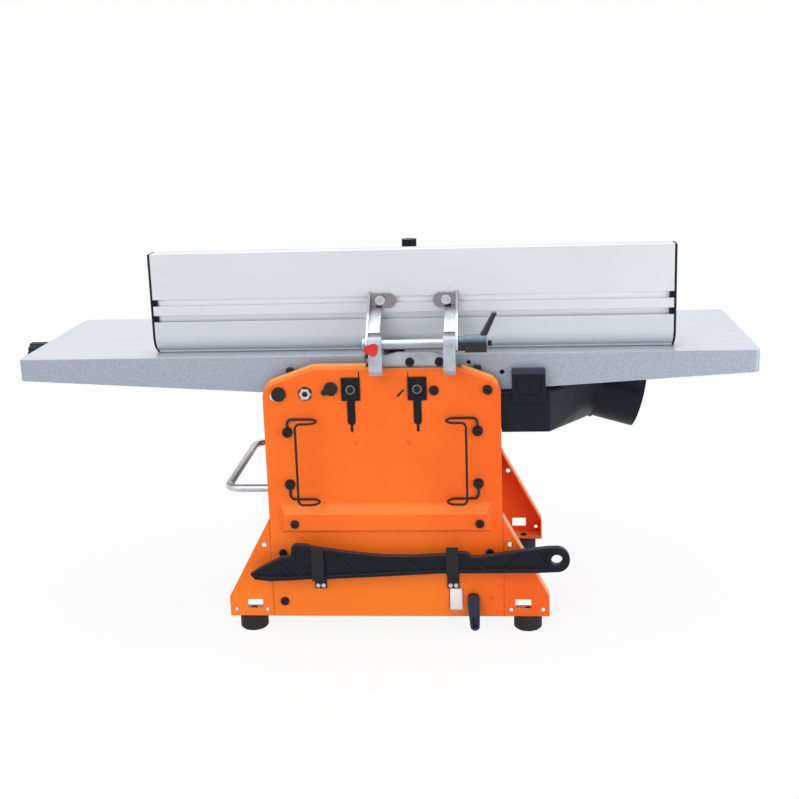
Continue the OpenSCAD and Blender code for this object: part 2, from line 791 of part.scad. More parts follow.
// Motor: finned housing on a cradle, with the rotor's shaft and pulley as a separate body
motor_r = min((end_x - 24) / 2 - 13.5, motor_p[1] - deck_z - 10);
motor_y = [36 - half_w, half_w - 14];
fin_n = floor((motor_y[1] - motor_y[0] - 70) / 9);
module motor_body() {
  color([0.20, 0.21, 0.23]) place() difference() {
    union() {
      ycyl(motor_p[0], motor_p[1], motor_y[0], motor_y[1], motor_r - 3);
      for (i = [0 : fin_n - 1])
        ycyl(motor_p[0], motor_p[1], motor_y[0] + 36 + i * 9, motor_y[0] + 40 + i * 9, motor_r);
      ycyl(motor_p[0], motor_p[1], motor_y[0], motor_y[0] + 30, motor_r);
      ycyl(motor_p[0], motor_p[1], motor_y[1] - 20, motor_y[1], motor_r);
      ycyl(motor_p[0], motor_p[1], motor_y[1], wall_y, 15);
      for (y = [motor_y[0] + 46, motor_y[1] - 58])
        block([motor_p[0] - motor_r + 12, y, deck_z], [motor_p[0] + motor_r - 12, y + 22, motor_p[1] - 20]);
    }
    ycyl(motor_p[0], motor_p[1], motor_y[1] - 28, wall_y + 1, 7 + run);
    for (a = [0 : 45 : 315])
      translate([motor_p[0], 0, motor_p[1]]) rotate([0, a, 0])
        ycyl(motor_r - 18, 0, motor_y[0] - 1, motor_y[0] + 6, 6);
  }
}

module motor_rotor() {
  color(steel) place() {
    ycyl(motor_p[0], motor_p[1], motor_y[1] - 26, belt_y[1] + 8, 7);
    difference() {
      ycyl(motor_p[0], motor_p[1], belt_y[0] - 1, belt_y[1] + 1, motor_pr);
      ycyl(motor_p[0], motor_p[1], belt_y[1] - 3, belt_y[1] + 2, 19);
    }
    ycyl(motor_p[0], motor_p[1], belt_y[0], belt_y[1] + 2, 10);
  }
}

// Drive belt round motor, gearbox and cutterhead, and the lift drive's small belt
lift_pr = 14;
module drive_belts() {
  color(rubber) place() {
    belt([motor_p, box_p, head_p], [motor_pr, box_pr, head_pr], belt_t, belt_y);
    belt([[0, lift_z], [0, crank_z]], [lift_pr, lift_pr], 2, lift_y);
  }
}

// Closed feed gearbox on the inside of the front wall
module feed_gearbox() {
  x = box_p[0];
  color([0.30, 0.31, 0.33]) place() difference() {
    union() {
      xz(gear_y[0], gear_y[1]) round2d([x - 57, box_p[1] - 48], [x + 25, out_p[1] + 23], 12);
      xz(gear_y[0] - 4, gear_y[0]) round2d([x - 51, box_p[1] - 42], [x + 19, out_p[1] + 17], 8);
    }
    ycyl(box_p[0], box_p[1], gear_y[0] + 8, gear_y[1] + 1, 8 + run);
    ycyl(out_p[0], out_p[1], gear_y[0] + 8, gear_y[1] + 1, 6 + run);
    ycyl(clutch_x, clutch_z, gear_y[0] - 5, gear_y[0] + 12, 5 + run);
  }
}

module gearbox_pulley() {
  color(steel) place() {
    ycyl(box_p[0], box_p[1], gear_y[0] + 9, belt_y[0] - 1, 8);
    difference() {
      ycyl(box_p[0], box_p[1], belt_y[0] - 1, belt_y[1] + 1, box_pr);
      ycyl(box_p[0], box_p[1], belt_y[1] - 4, belt_y[1] + 2, 17);
    }
    ycyl(box_p[0], box_p[1], belt_y[0], belt_y[1] - 1, 9);
  }
}

// Toothed chain wheel in the plane of the feed chain
teeth = 14;
plate_c = 1.2;
module sprocket(p) {
  xz(chain_y[0] + plate_c + gap, chain_y[1] - plate_c - gap) translate(p) {
    circle(chain_r - 1.5);
    for (i = [0 : teeth - 1]) rotate(i * 360 / teeth)
      polygon([[chain_r - 5, -1.9], [chain_r - 1.5, -1.9], [chain_r + 1.6, -0.7], [chain_r + 1.6, 0.7],
        [chain_r - 1.5, 1.9], [chain_r - 5, 1.9]]);
  }
}

module drive_sprocket() {
  color(steel) place() {
    sprocket(out_p);
    ycyl(out_p[0], out_p[1], gear_y[0] + 9, chain_y[1] + 1, 6);
  }
}

// Side plates of the feed chain, joined by pins along its straight runs
module feed_chain() {
  c = [out_p, [feed_in_x, roller_z], [feed_out_x, roller_z]];
  ri = chain_r - 3;
  ro = chain_r + 3;
  color([0.25, 0.25, 0.27]) place() {
    for (y = [[chain_y[0], chain_y[0] + plate_c], [chain_y[1] - plate_c, chain_y[1]]])
      band(c, [ri, ri, ri], ro - ri, y);
    for (i = [0 : 2]) {
      t = tangent(c[i], chain_r, c[(i + 1) % 3], chain_r);
      n = floor(norm(t[1] - t[0]) / 9.5) - 3;
      for (k = [1 : n]) {
        q = t[0] + unit(t[1] - t[0]) * (15 + k * 9.5);
        if (norm(t[1] - q) > 20)
          ycyl(q[0], q[1], chain_y[0] + plate_c - 0.2, chain_y[1] - plate_c + 0.2, 1.6);
      }
    }
  }
}

// Feed roller with its journals and chain wheel
roller_y = half_w - 7;
block_o = cover_y + 2.5;
plunger_l = 41.2;
plunger_r = 4.2;
module roller_shaft(x) {
  ycyl(x, roller_z, -roller_y, roller_y, roller_r);
  ycyl(x, roller_z, -wall_o - 6, -roller_y, journal_r);
  ycyl(x, roller_z, roller_y, chain_y[1] + 1, journal_r);
  sprocket([x, roller_z]);
}

module feed_in_roller() {
  color(steel) place() difference() {
    roller_shaft(feed_in_x);
    for (a = [0 : 30 : 330]) translate([feed_in_x, 0, roller_z]) rotate([0, a, 0])
      translate([-1, -roller_y - 1, roller_r - 1.2]) cube([2, 2 * roller_y + 2, 4]);
  }
}

module feed_out_roller() {
  color(steel) place() roller_shaft(feed_out_x);
}

// Bearing blocks of the feed rollers; the rear ones show through the cover
module roller_blocks() {
  color(black) place() for (x = [feed_in_x, feed_out_x]) {
    difference() {
      block([x - 11, -block_o, roller_z - 14], [x + 11, -wall_y, roller_z + 14]);
      ycyl(x, roller_z, -wall_o - 7, -wall_y + 1, journal_r + run);
      for (d = [-1, 1])
        block([x + d * 8.5 - 1, -block_o - 1, roller_z - 15],
          [x + d * 8.5 + 1, -block_o + 1, roller_z + 15]);
    }
    xz(-cover_y - 1, -cover_y + 4) slot2d([x, roller_z - plunger_l], [x, roller_z - 14], plunger_r);
    zcyl(x, -cover_y + 0.6, roller_z - 53.6, roller_z - plunger_l, 1.1);
    side(1) difference() {
      block([x - 11, wall_y, roller_z - 14], [x + 11, wall_o + 2, roller_z + 14]);
      ycyl(x, roller_z, wall_y - 1, wall_o + 3, journal_r + run);
    }
  }
}

// Kickback pawls on their rod, hung in the outfeed table's skirts
pawl_x = 82;
pawl_z = table_z - 30;
pawl_n = 11;
pawl_d = 2 * (half_w - 22) / (pawl_n - 1);
module kickback_pawls() {
  color(steel) place() {
    ycyl(pawl_x, pawl_z, -half_w, half_w, 4);
    for (i = [0 : pawl_n - 1]) translate([0, (i - (pawl_n - 1) / 2) * pawl_d, 0]) xz(-4, 4) {
      translate([pawl_x, pawl_z]) circle(7);
      polygon([[pawl_x - 6.5, pawl_z], [pawl_x + 6.5, pawl_z], [pawl_x + 5, pawl_z - 18],
        [pawl_x - 4, pawl_z - 24]]);
    }
  }
}

// Thicknesser bed with ribs, guide lugs and sockets for the support bar
module thickness_bed() {
  color(cast_alu) place() difference() {
    union() {
      block([-bed_x, -bed_y, bed_z - bed_t], [bed_x, bed_y, bed_z]);
      for (y = [-bed_y, -60, 54, bed_y - 6])
        block([-bed_x, y, bed_z - bed_t - rib_h], [bed_x, y + 6, bed_z - bed_t]);
      for (x = [-bed_x, -50, 44, bed_x - 6])
        block([x, -bed_y, bed_z - bed_t - rib_h], [x + 6, bed_y, bed_z - bed_t]);
      for (s = [-1, 1], t = [-1, 1])
        block([s * lug_x - lug_w / 2, t > 0 ? bed_y - 1 : -wall_o + gap, bed_z - 24],
          [s * lug_x + lug_w / 2, t > 0 ? wall_o - gap : -bed_y + 1, bed_z - 4]);
      for (t = [-1, 1])
        block([-bed_x, t * leg_y - 11, bed_z - 20], [-bed_x + 36, t * leg_y + 11, bed_z - 2]);
      zcyl(0, 0, bed_z - bed_t - rib_h, bed_z - bed_t, 30);
    }
    for (t = [-1, 1])
      xcyl(t * leg_y, bar_z, -bed_x - 1, -bed_x + 30, bar_r);
  }
}

// Round support bar in front of the thicknesser bed
bend_r = 18;
module bed_support_bar() {
  color(zinc) place() {
    xo = -bar_x + bar_r;
    for (t = [-1, 1]) {
      xcyl(t * leg_y, bar_z, xo + bend_r, -bed_x + 30, bar_r);
      translate([xo + bend_r, t * (leg_y - bend_r), bar_z]) rotate(t > 0 ? 90 : 180)
        rotate_extrude(angle = 90) translate([bend_r, 0]) circle(bar_r);
    }
    ycyl(xo, bar_z, -leg_y + bend_r, leg_y - bend_r, bar_r);
  }
}

// Lift: tube with its nut under the bed, screw, right-angle gearbox and shaft
nut_b = 64;
screw_r = 8;
module lift_post() {
  color(steel) place() difference() {
    zcyl(0, 0, nut_b, bed_z - bed_t - rib_h, 20);
    zcyl(0, 0, nut_b + 18, bed_z - bed_t - rib_h - 2, 13);
    zcyl(0, 0, nut_b - 1, nut_b + 19, screw_r + run);
  }
}

module lift_gearbox() {
  color([0.30, 0.31, 0.33]) place() difference() {
    union() {
      translate([0, 0, deck_z]) linear_extrude(56 - deck_z) round2d([-24, -24], [24, 24], 8);
      zcyl(0, 0, 56, 60, 16);
      ycyl(0, lift_z, 20, 32, 13);
      block([-40, -16, deck_z], [40, 16, deck_z + 5]);
    }
    zcyl(0, 0, 40, 61, screw_r - 2 + run);
    ycyl(0, lift_z, 12, 33, 5 + run);
  }
}

module lift_screw() {
  color(steel) place() {
    zcyl(0, 0, 46, 61, screw_r - 2);
    zcyl(0, 0, 60.3, bed_z - bed_t - rib_h - 6, screw_r);
  }
}

module lift_shaft() {
  color(steel) place() {
    ycyl(0, lift_z, 13, lift_y[1] + 3, 5);
    ycyl(0, lift_z, lift_y[0], lift_y[1], lift_pr);
    ycyl(0, lift_z, lift_y[0] - 6, lift_y[0], 9);
  }
}

// Height crank on the front, with a free turning grip
crank_y = front_o + 7;
module crank() {
  color(zinc) place() {
    ycyl(0, crank_z, wall_y - 2, crank_y + 8, 6);
    ycyl(0, crank_z, lift_y[0], lift_y[1], lift_pr);
    difference() {
      xz(crank_y, crank_y + 8) {
        slot2d([-crank_r, crank_z], [0, crank_z], 8);
        translate([0, crank_z]) circle(13);
      }
      ycyl(-crank_r, crank_z, crank_y + 5, crank_y + 9, 6);
    }
    ycyl(-crank_r, crank_z, crank_y, crank_y + 44, 4);
  }
}

module crank_grip() {
  color(black) place() translate([-crank_r, crank_y + 8 + gap, crank_z]) rotate([-90, 0, 0])
    rotate_extrude() polygon([[4 + run, 0], [8, 0], [10.5, 6], [9, 16], [9, 30], [10.5, 38], [8, 42],
      [4 + run, 42]]);
}

// Dust chute: tray under the cutterhead, flared box, tapered neck and round port
port_dir = [cos(port_a), 0, -sin(port_a)];
port_n = port_c - port_l * port_dir;
module port_disc(p, r, h) {
  translate(p) rotate([0, 90 + port_a, 0]) cylinder(r = r, h = h);
}

module chute_neck(t, k) {
  i = t + k;
  hull() {
    block([flare_x[1] - 5, -flare_y + i, chute_z + i], [flare_x[1] + k, flare_y - i, chute_z + flare_h - i]);
    translate(port_n) rotate([0, 90 + port_a, 0]) translate([0, 0, -1])
      cylinder(r = port_d / 2 - i, h = 4, $fn = 32);
  }
}

// Open tray of the chute under the cutterhead, joined to the flared box at its mouth
module chute_tray() {
  t = chute_t;
  i = [tray_x + t, -chute_y + t, chute_z + t];
  color(black) place() difference() {
    block([tray_x, -chute_y, chute_z], [flare_x[0], chute_y, chute_z + tray_h]);
    block(i, [flare_x[0] + 1, chute_y - t, chute_z + tray_h - t]);
    block(i, [70, chute_y - t, chute_z + tray_h + 1]);
  }
}

// Outline of the catch: square at its top, round at its lower end
latch_x = [half_b + 13.5, half_b + 54.5];
latch_z = [table_z - 56, table_z - 18];
latch_r = 9;
module latch2d(d) {
  a = [latch_x[0] + 5 + d, latch_z[0] + 6 + d];
  b = [latch_x[1] - 5 - d, latch_z[1] - 8 - d];
  round2d(a, b, latch_r);
  translate([a[0], b[1] - latch_r - 1]) square([b[0] - a[0], latch_r + 1]);
}

// Chute behind the body: flared box, catch housing, lofted neck and round port with a stop collar
module dust_chute() {
  t = chute_t;
  yo = -flare_y - 7.5;
  color(black) place() difference() {
    union() {
      block([flare_x[0], -flare_y, chute_z], [flare_x[1], flare_y, chute_z + flare_h]);
      chute_neck(0, 0.6);
      port_disc(port_n, port_d / 2, port_l);
      port_disc(port_n, port_d / 2 + 2.5, 3);
      yz(latch_x[0], latch_x[1]) polygon([[yo, latch_z[0] - 2], [-half_w - 1, latch_z[0] - 2],
        [-half_w - 1, latch_z[1]], [yo + 5, latch_z[1]], [yo, latch_z[1] - 5]]);
    }
    block([flare_x[0] - 1, -chute_y + t, chute_z + t],
      [flare_x[0] + t + 1, chute_y - t, chute_z + tray_h - t]);
    block([flare_x[0] + t, -flare_y + t, chute_z + t], [flare_x[1] - 2, flare_y - t, chute_z + flare_h - t]);
    chute_neck(t, 0.9);
    port_disc(port_n + 1.5 * port_dir, port_d / 2 - t, port_l);
    xz(-flare_y - 9, -flare_y - 1) latch2d(0);
    block([latch_x[0] - 1, -half_w - 2.5, latch_z[0] + 9.5], [latch_x[1] + 1, -half_w, latch_z[1] + 1]);
  }
}

// Sprung catch of the chute, pressed to let the chute slide out, with a finger dimple
module chute_latch() {
  x = (latch_x[0] + latch_x[1]) / 2;
  color([0.16, 0.17, 0.19]) place() difference() {
    xz(-flare_y - 6.4, -flare_y - 3.2) latch2d(gap);
    ycyl(x, latch_z[0] + 15, -flare_y - 7, -flare_y - 5, 3);
  }
}

// Outer outline of the fence profile: upright face, curved foot at the back
module fence2d() {
  r = 22;
  difference() {
    translate([-fence_y, fence_z]) square([fence_t, fence_h - 1]);
    difference() {
      translate([-fence_y - 1, fence_z - 1]) square([16, r + 2]);
      translate([-fence_y + r, fence_z + r + 1]) circle(r);
    }
  }
}

module fence() {
  w = 2.6;
  y = -fence_y;
  top_z = slot_z[1] + 8 + w;
  back = slot_lip + slot_d + w;
  color(alu) place() yz(fence_x + 3, fence_x + fence_l - 3) difference() {
    fence2d();
    for (z = slot_z) {
      translate([y - 1, z - slot_w / 2]) square([slot_lip + 2, slot_w]);
      translate([y + slot_lip, z - 8]) square([slot_d, 16]);
    }
    translate([y + back, fence_z + 12]) square([fence_t - back - w, slot_z[1] + 8 - fence_z - 12]);
    translate([y + w, top_z]) square([fence_t - 2 * w, table_z + fence_h - top_z - w]);
  }
}

// End caps with a tongue in each slot
module fence_caps() {
  color(black) place() for (x = [fence_x, fence_x + fence_l - 3]) {
    yz(x, x + 3) fence2d();
    for (z = slot_z)
      block([x + (x < 0 ? 3 : -5), -fence_y + slot_lip + gap, z - 7.4],
        [x + (x < 0 ? 8 : 0), -fence_y + slot_lip + slot_d - gap, z + 7.4]);
  }
}

// Tilting arms: side web on the rod, sloped strap and a tab against the fence
tab_y = fence_y + gap;
tab_z = [slot_z[1] - 10, slot_z[1] + 8];
lobe_r = (tab_z[1] - tab_z[0]) / 2;
lobe_x = [lug_l[0] + 21.5, lug_r[1] - 19];
module arm_web2d() {
  difference() {
    union() {
      translate([-rod_y, rod_h]) circle(10.4);
      polygon([[-rod_y - 7, rod_h + 7.5], [-tab_y - arm_t, tab_z[1] + 1.5], [-tab_y, tab_z[1] + 1.5],
        [-tab_y, slot_z[1] - 20], [-rod_y + 8.5, rod_h - 5.6]]);
    }
    translate([-rod_y, rod_h]) circle(rod_d / 2 + run);
  }
}

module arm_strap2d() {
  polygon([[-tab_y, tab_z[1]], [-tab_y - arm_t, tab_z[1]], [-tab_y - arm_t, slot_z[1] - 6],
    [-rod_y + 1, rod_h + 14.5], [-rod_y + 3, rod_h + 12], [-tab_y, slot_z[1] - 11]]);
}

module fence_arms() {
  color(zinc) place() for (s = [0, 1]) {
    xw = s == 0 ? lug_l[0] - gap - arm_t : lug_r[1] + gap;
    xs = s == 0 ? xw : xw + arm_t - 17;
    xt = lobe_x[s];
    yz(xw, xw + arm_t) arm_web2d();
    difference() {
      union() {
        yz(xs, xs + 17) arm_strap2d();
        xz(-tab_y - arm_t, -tab_y) {
          translate([s == 0 ? xw : xt, tab_z[0]])
            square([abs(xt - xw) + (s == 0 ? 0 : arm_t), tab_z[1] - tab_z[0]]);
          translate([xt, slot_z[1] - 1]) circle(lobe_r);
        }
      }
      ycyl(s == 0 ? bolt_l : bolt_r, slot_z[1], -tab_y - arm_t - 1, -tab_y + 1, 4);
    }
  }
}

// T-bolts that clamp the arms to the fence's upper slot
bolt_l = lug_l[0] + 11.5;
bolt_r = lug_r[1] - 11.6;
module fence_bolts() {
  color(zinc) place() for (x = [bolt_l, bolt_r]) {
    z = slot_z[1];
    head = -fence_y + slot_lip + gap;
    ycyl(x, z, -tab_y - arm_t, head, 4);
    block([x - 7, head, z - 7], [x + 7, -fence_y + slot_lip + slot_d - gap, z + 7]);
    difference() {
      ycyl(x, z, -tab_y - arm_t - 4.5, -tab_y - arm_t, 6);
      translate([x, -tab_y - arm_t - 6, z]) rotate([-90, 0, 0]) cylinder(r = 2.8, h = 4, $fn = 6);
    }
  }
}

// Fence carrier bolted to the rear wall: plate and two lugs for the tilt rod
base_o = wall_o + 6;
base_screw_x = [36.5, lug_r[0] - 6.4];
module fence_base() {
  color(alu) place() difference() {
    union() {
      xz(-base_o, -wall_o) polygon([[lug_l[0], table_z - 24], [lug_r[1], table_z - 24],
        [lug_r[1], table_z - 2], [64, table_z + 5.5], [21, table_z + 5.5], [lug_l[0], table_z - 2]]);
      for (x = [lug_l, lug_r]) yz(x[0], x[1]) {
        translate([-rod_y, rod_h]) circle(11);
        polygon([[-rod_y - 11, rod_h], [-rod_y - 11, table_z - 11], [-rod_y - 6, table_z - 17.5],
          [-rod_y + 7, table_z - 17.5], [-cover_y - 1.5, table_z - 11], [-cover_y - 1.5, cover_z + 1],
          [-wall_o, cover_z + 1], [-wall_o, table_z + 3], [-rod_y + 11, rod_h - 4], [-rod_y + 11, rod_h]]);
      }
    }
    xcyl(-rod_y, rod_h, lug_l[0] - 1, lug_r[1] + 1, rod_d / 2);
    for (x = base_screw_x)
      ycyl(x, table_z - 6.5, -base_o - 1, -wall_o + 1, 3);
  }
}

module fence_rod() {
  color(zinc) place() {
    xcyl(-rod_y, rod_h, lug_l[0] - arm_t - 1, lever_x[1] + 1, rod_d / 2);
    xcyl(-rod_y, rod_h, lug_l[0] - arm_t - 4, lug_l[0] - arm_t - 1, 8);
  }
}

// Clamp lever of the tilt rod
lever_x = [lug_r[1] + arm_t + 2 * gap, 131];
module fence_lever() {
  color(black) place() difference() {
    union() {
      xcyl(-rod_y, rod_h, lever_x[0], lever_x[0] + 8, 9);
      xcyl(-rod_y, rod_h, lever_x[0] + 8, lever_x[1], 11);
      translate([lever_x[1] - 9, -rod_y, rod_h]) rotate([0, 27, 0]) {
        cylinder(r1 = 5, r2 = 3, h = 40);
        translate([0, 0, 40]) sphere(3.3, $fn = 32);
      }
    }
    xcyl(-rod_y, rod_h, lever_x[0] - 1, lever_x[1] + 1, rod_d / 2 + run);
  }
}

// Red tilt pointer, a rounded plate on the left lug
module angle_pointer() {
  x = lug_l[0];
  color([0.80, 0.10, 0.08]) place() xz(-rod_y - 13, -rod_y - 11)
    loop2d([[x + 0.5, rod_h - 3.5], [x + 6.5, rod_h - 7], [x + 7.5, rod_h - 1]], [5.4, 4.8, 4.8]);
}

// Wire holders that stand off the rear cover: eyes, elbows, hairpin bends and an upright
wire_r = 1.5;
eye_t = 2 * wire_r + 0.2;
eye_x = half_b - 29;
eye_z = [263.5, 195.5];
hair_z = [280, 176];
hair_x = half_b - 56;
stem_x = half_b - 42.5;
elbow_r = 6;
hair_r = 11;

// Quarter bend in the XZ plane, turned to start at angle a
module elbow(x, y, z, a) {
  translate([x, y, z]) rotate([90, 0, 0]) rotate(a) rotate_extrude(angle = 90)
    translate([elbow_r, 0]) circle(wire_r, $fn = 24);
}

module wire_holder() {
  yi = -cover_y - wire_r - 0.2;
  yo = yi - 2 * hair_r;
  for (i = [0, 1]) {
    z = hair_z[i];
    d = i == 0 ? 1 : -1;
    ze = eye_z[i];
    difference() {
      union() {
        ycyl(eye_x, ze, -cover_y - eye_t, -cover_y, 6.5);
        zcyl(eye_x, yi, min(ze, z - d * elbow_r), max(ze, z - d * elbow_r), wire_r);
      }
      ycyl(eye_x, ze, -cover_y - 2 * eye_t, -cover_y + 1, 2.5);
    }
    elbow(eye_x - elbow_r, yi, z - d * elbow_r, i == 0 ? 0 : 270);
    xcyl(yi, z, hair_x, eye_x - elbow_r, wire_r);
    translate([hair_x, yi - hair_r, z]) rotate(90) rotate_extrude(angle = 180)
      translate([hair_r, 0]) circle(wire_r, $fn = 24);
    xcyl(yo, z, hair_x, stem_x - elbow_r, wire_r);
    elbow(stem_x - elbow_r, yo, z - d * elbow_r, i == 0 ? 0 : 270);
  }
  zcyl(stem_x, yo, hair_z[1] + elbow_r, hair_z[0] - elbow_r, wire_r);
}

module wire_holders() {
  color(black) place() {
    wire_holder();
    mirror([1, 0, 0]) wire_holder();
  }
}

// Push stick in its clips: rim, thin web with diagonal ribs, hole in the handle's round end
stick_y = [cover_y + 11, cover_y + 20];
clip_x = [-85, 84];
clip_w = 7.7;
clip_t = 1.6;
grip_p = [213.5, 101.5];
grip_r = 16;
module push_stick() {
  y0 = -stick_y[1];
  y1 = -stick_y[0];
  color(black) place() difference() {
    union() {
      xz(y0 + 3, y1 - 3) stick2d(0);
      xz(y0, y1) {
        difference() {
          stick2d(0);
          stick2d(4);
        }
        translate(grip_p) circle(12);
      }
      xz(y0 + 0.8, y1 - 0.8) intersection() {
        stick2d(2);
        for (i = [0 : 8], h = [i % 2 == 0 ? 22 : -22])
          slot2d([i * 42 - 157, 96 + h], [i * 42 - 115, 96 - h], 1.1);
      }
    }
    ycyl(grip_p[0], grip_p[1], y0 - 1, y1 + 1, 7);
  }
}

// Push stick outline, drawn in by d: beak, stepped heel, waist, thumb notch and handle
module stick2d(d) {
  polygon([[-172 + 2 * d, 82.5], [-160 + d, 90 - 0.6 * d], [-140 + d * 0.3, 100.3 - d], [-130.5, 104.7 - d],
    [-119 + d, 106 - d], [-117.3 + d, 119 - d], [-113.5 + d, 121.5 - d], [-99, 120.8 - d], [-91, 118 - d],
    [-71.5, 114.8 - d], [-36, 109.7 - d], [0, 106.2 - d], [37, 106 - d], [77, 108.3 - d], [94, 111 - d],
    [101, 110.4 - d], [105, 108 - d], [108, 105 - d], [119, 105 - d], [172, 113.5 - d], [204, 117.3 - d],
    [214, 117.3 - d], [214, 85.7 + d], [190, 84.6 + d], [147, 84.4 + d], [97, 84 + d], [72, 84 + d],
    [18, 81 + d], [-60, 77 + d], [-73, 76 + d], [-97, 76 + d], [-120, 74.5 + d], [-147 + d * 0.3, 73.5 + d],
    [-166 + d, 75.5 + d]]);
  translate(grip_p) circle(grip_r - d);
}

module stick_clips() {
  t = clip_t;
  color(black) place() for (i = [0, 1]) {
    z = i == 0 ? 76 : 84;
    x = clip_x[i];
    yf = -stick_y[1] - gap;
    yz(x - clip_w, x + clip_w) polygon([[-cover_y, 56], [-cover_y, z], [yf, z], [yf, 115.5], [yf - 2, 119.5],
      [yf - 2 - t, 119.5], [yf - t, 115.5], [yf - t, z - t], [-cover_y - t, z - t], [-cover_y - t, 56]]);
  }
}

// Bridge guard over the cutterhead: bracket with two posts, slide, bar and height screw
module guard_bracket() {
  color([0.20, 0.21, 0.23]) place() {
    difference() {
      union() {
        xz(front_o, front_o + 5)
          round2d([guard_x - post_dx - 11, cover_z - 66], [guard_x + post_dx + 11, cover_z - 4], 8);
        for (s = [-1, 1]) {
          block([guard_x + s * post_dx - 10, front_o, cover_z - 48],
            [guard_x + s * post_dx + 10, guard_y + 9, cover_z - 10]);
          zcyl(guard_x + s * post_dx, guard_y, cover_z - 42, bridge_z + 4, post_r);
        }
        block([guard_x - post_dx - 10, guard_y - 9, bridge_z],
          [guard_x + post_dx + 10, guard_y + 9, bridge_z + 10]);
      }
      zcyl(guard_x, guard_y, bridge_z - 2, bridge_z + 12, 4 + run);
    }
  }
}

module guard_slide() {
  color(black) place() difference() {
    block([guard_x - post_dx - 11, guard_y - 11, cover_z + 4],
      [guard_x + post_dx + 11, guard_y + 11, table_z + 30]);
    for (s = [-1, 1])
      zcyl(guard_x + s * post_dx, guard_y, cover_z, table_z + 31, post_r + run);
    block([guard_x - guard_w / 2 - gap, guard_y - 12, guard_z - gap],
      [guard_x + guard_w / 2 + gap, guard_y + 12, guard_z + guard_t + gap]);
    zcyl(guard_x, guard_y, table_z + 20, table_z + 31, 4 + run);
  }
}

// Hollow guard bar with a domed top
module guard_bar() {
  y0 = -fence_y + fence_t + 5;
  color([0.85, 0.16, 0.12]) place() translate([guard_x, y0, guard_z]) rotate([-90, 0, 0]) mirror([0, 1, 0])
    linear_extrude(front_o + 45 - y0) difference() {
      intersection() {
        translate([-guard_w / 2, 0]) square([guard_w, guard_t]);
        translate([0, guard_t - 86]) circle(86);
      }
      intersection() {
        translate([-guard_w / 2 + 3, 2]) square([guard_w - 6, guard_t]);
        translate([0, guard_t - 86]) circle(83.5);
        translate([-guard_w / 2, 0]) square([guard_w, guard_t - 2]);
      }
    }
}

module guard_knob() {
  color(black) place() {
    zcyl(guard_x, guard_y, table_z + 20.5, bridge_z + 14, 4);
    difference() {
      zcyl(guard_x, guard_y, bridge_z + 11, bridge_z + 29, 11);
      for (a = [0 : 45 : 315])
        zcyl(guard_x + 12.5 * cos(a), guard_y + 12.5 * sin(a), bridge_z + 10, bridge_z + 30, 3);
    }
  }
}

// Switch box on the front cover with a start and a stop button
box_x = [half_b - 81, half_b - 21];
box_m = (box_x[0] + box_x[1]) / 2;
box_z = [178, 262];
box_d = 40;
module switch_box() {
  color(black) place() difference() {
    union() {
      xz(front_o, front_o + box_d) round2d([box_x[0], box_z[0]], [box_x[1], box_z[1]], 8);
      xz(front_o + box_d, front_o + box_d + 3)
        round2d([box_x[0] + 5, box_z[0] + 5], [box_x[1] - 5, box_z[1] - 5], 6);
      zcyl(box_m, front_o + 20, box_z[0] - 14, box_z[0], 9);
      translate([box_m, front_o + 20, box_z[0] - 14]) cylinder(r = 11, h = 7, $fn = 6);
    }
    for (z = [200, 240])
      ycyl(box_m, z, front_o + box_d - 12, front_o + box_d + 4, 13 + gap);
    zcyl(box_m, front_o + 20, box_z[0] - 15, box_z[0] + 4, 4.5);
  }
}

module push_button(z, h) {
  y = front_o + box_d;
  ycyl(box_m, z, y - 9, y + h, 13);
  ycyl(box_m, z, y + h, y + h + 1.5, 11);
}

module start_button() {
  color([0.10, 0.52, 0.20]) place() push_button(240, 3);
}

module stop_button() {
  color([0.78, 0.09, 0.08]) place() push_button(200, 6);
}

// Feed clutch lever low on the rear, with its shaft through to the feed gearbox
lever_end = [clutch_x + 1.4, 9.5];
module feed_lever() {
  y = -cover_y - 1;
  color([0.13, 0.15, 0.20]) place() {
    ycyl(clutch_x, clutch_z, y - 2, gear_y[0] + 11, 5);
    difference() {
      xz(y - 12, y) loop2d([[clutch_x, clutch_z], lever_end], [7.8, 6]);
      xz(y - 13, y - 8) slot2d([clutch_x + 1.1, 20], lever_end, 3.2);
    }
  }
}

base_plate_rear();
base_plate_front();
cross_members();
base_floor();
rubber_feet();
wall_rear();
wall_front();
rear_cover();
front_cover();
frame_bolts();
frame_screws();
outfeed_table();
infeed_table();
depth_knob();
depth_screw();
depth_nut();
cutterhead();
cutter_knives();
cutter_bearings();
motor_body();
motor_rotor();
drive_belts();
feed_gearbox();
gearbox_pulley();
drive_sprocket();
feed_chain();
feed_in_roller();
feed_out_roller();
roller_blocks();
kickback_pawls();
thickness_bed();
bed_support_bar();
lift_post();
lift_gearbox();
lift_screw();
lift_shaft();
crank();
crank_grip();
chute_tray();
dust_chute();
chute_latch();
fence();
fence_caps();
fence_arms();
fence_bolts();
fence_base();
fence_rod();
fence_lever();
angle_pointer();
wire_holders();
push_stick();
stick_clips();
guard_bracket();
guard_slide();
guard_bar();
guard_knob();
switch_box();
start_button();
stop_button();
feed_lever();
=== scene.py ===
import json
import math

import bpy
import numpy as np
from mathutils import Matrix, Vector


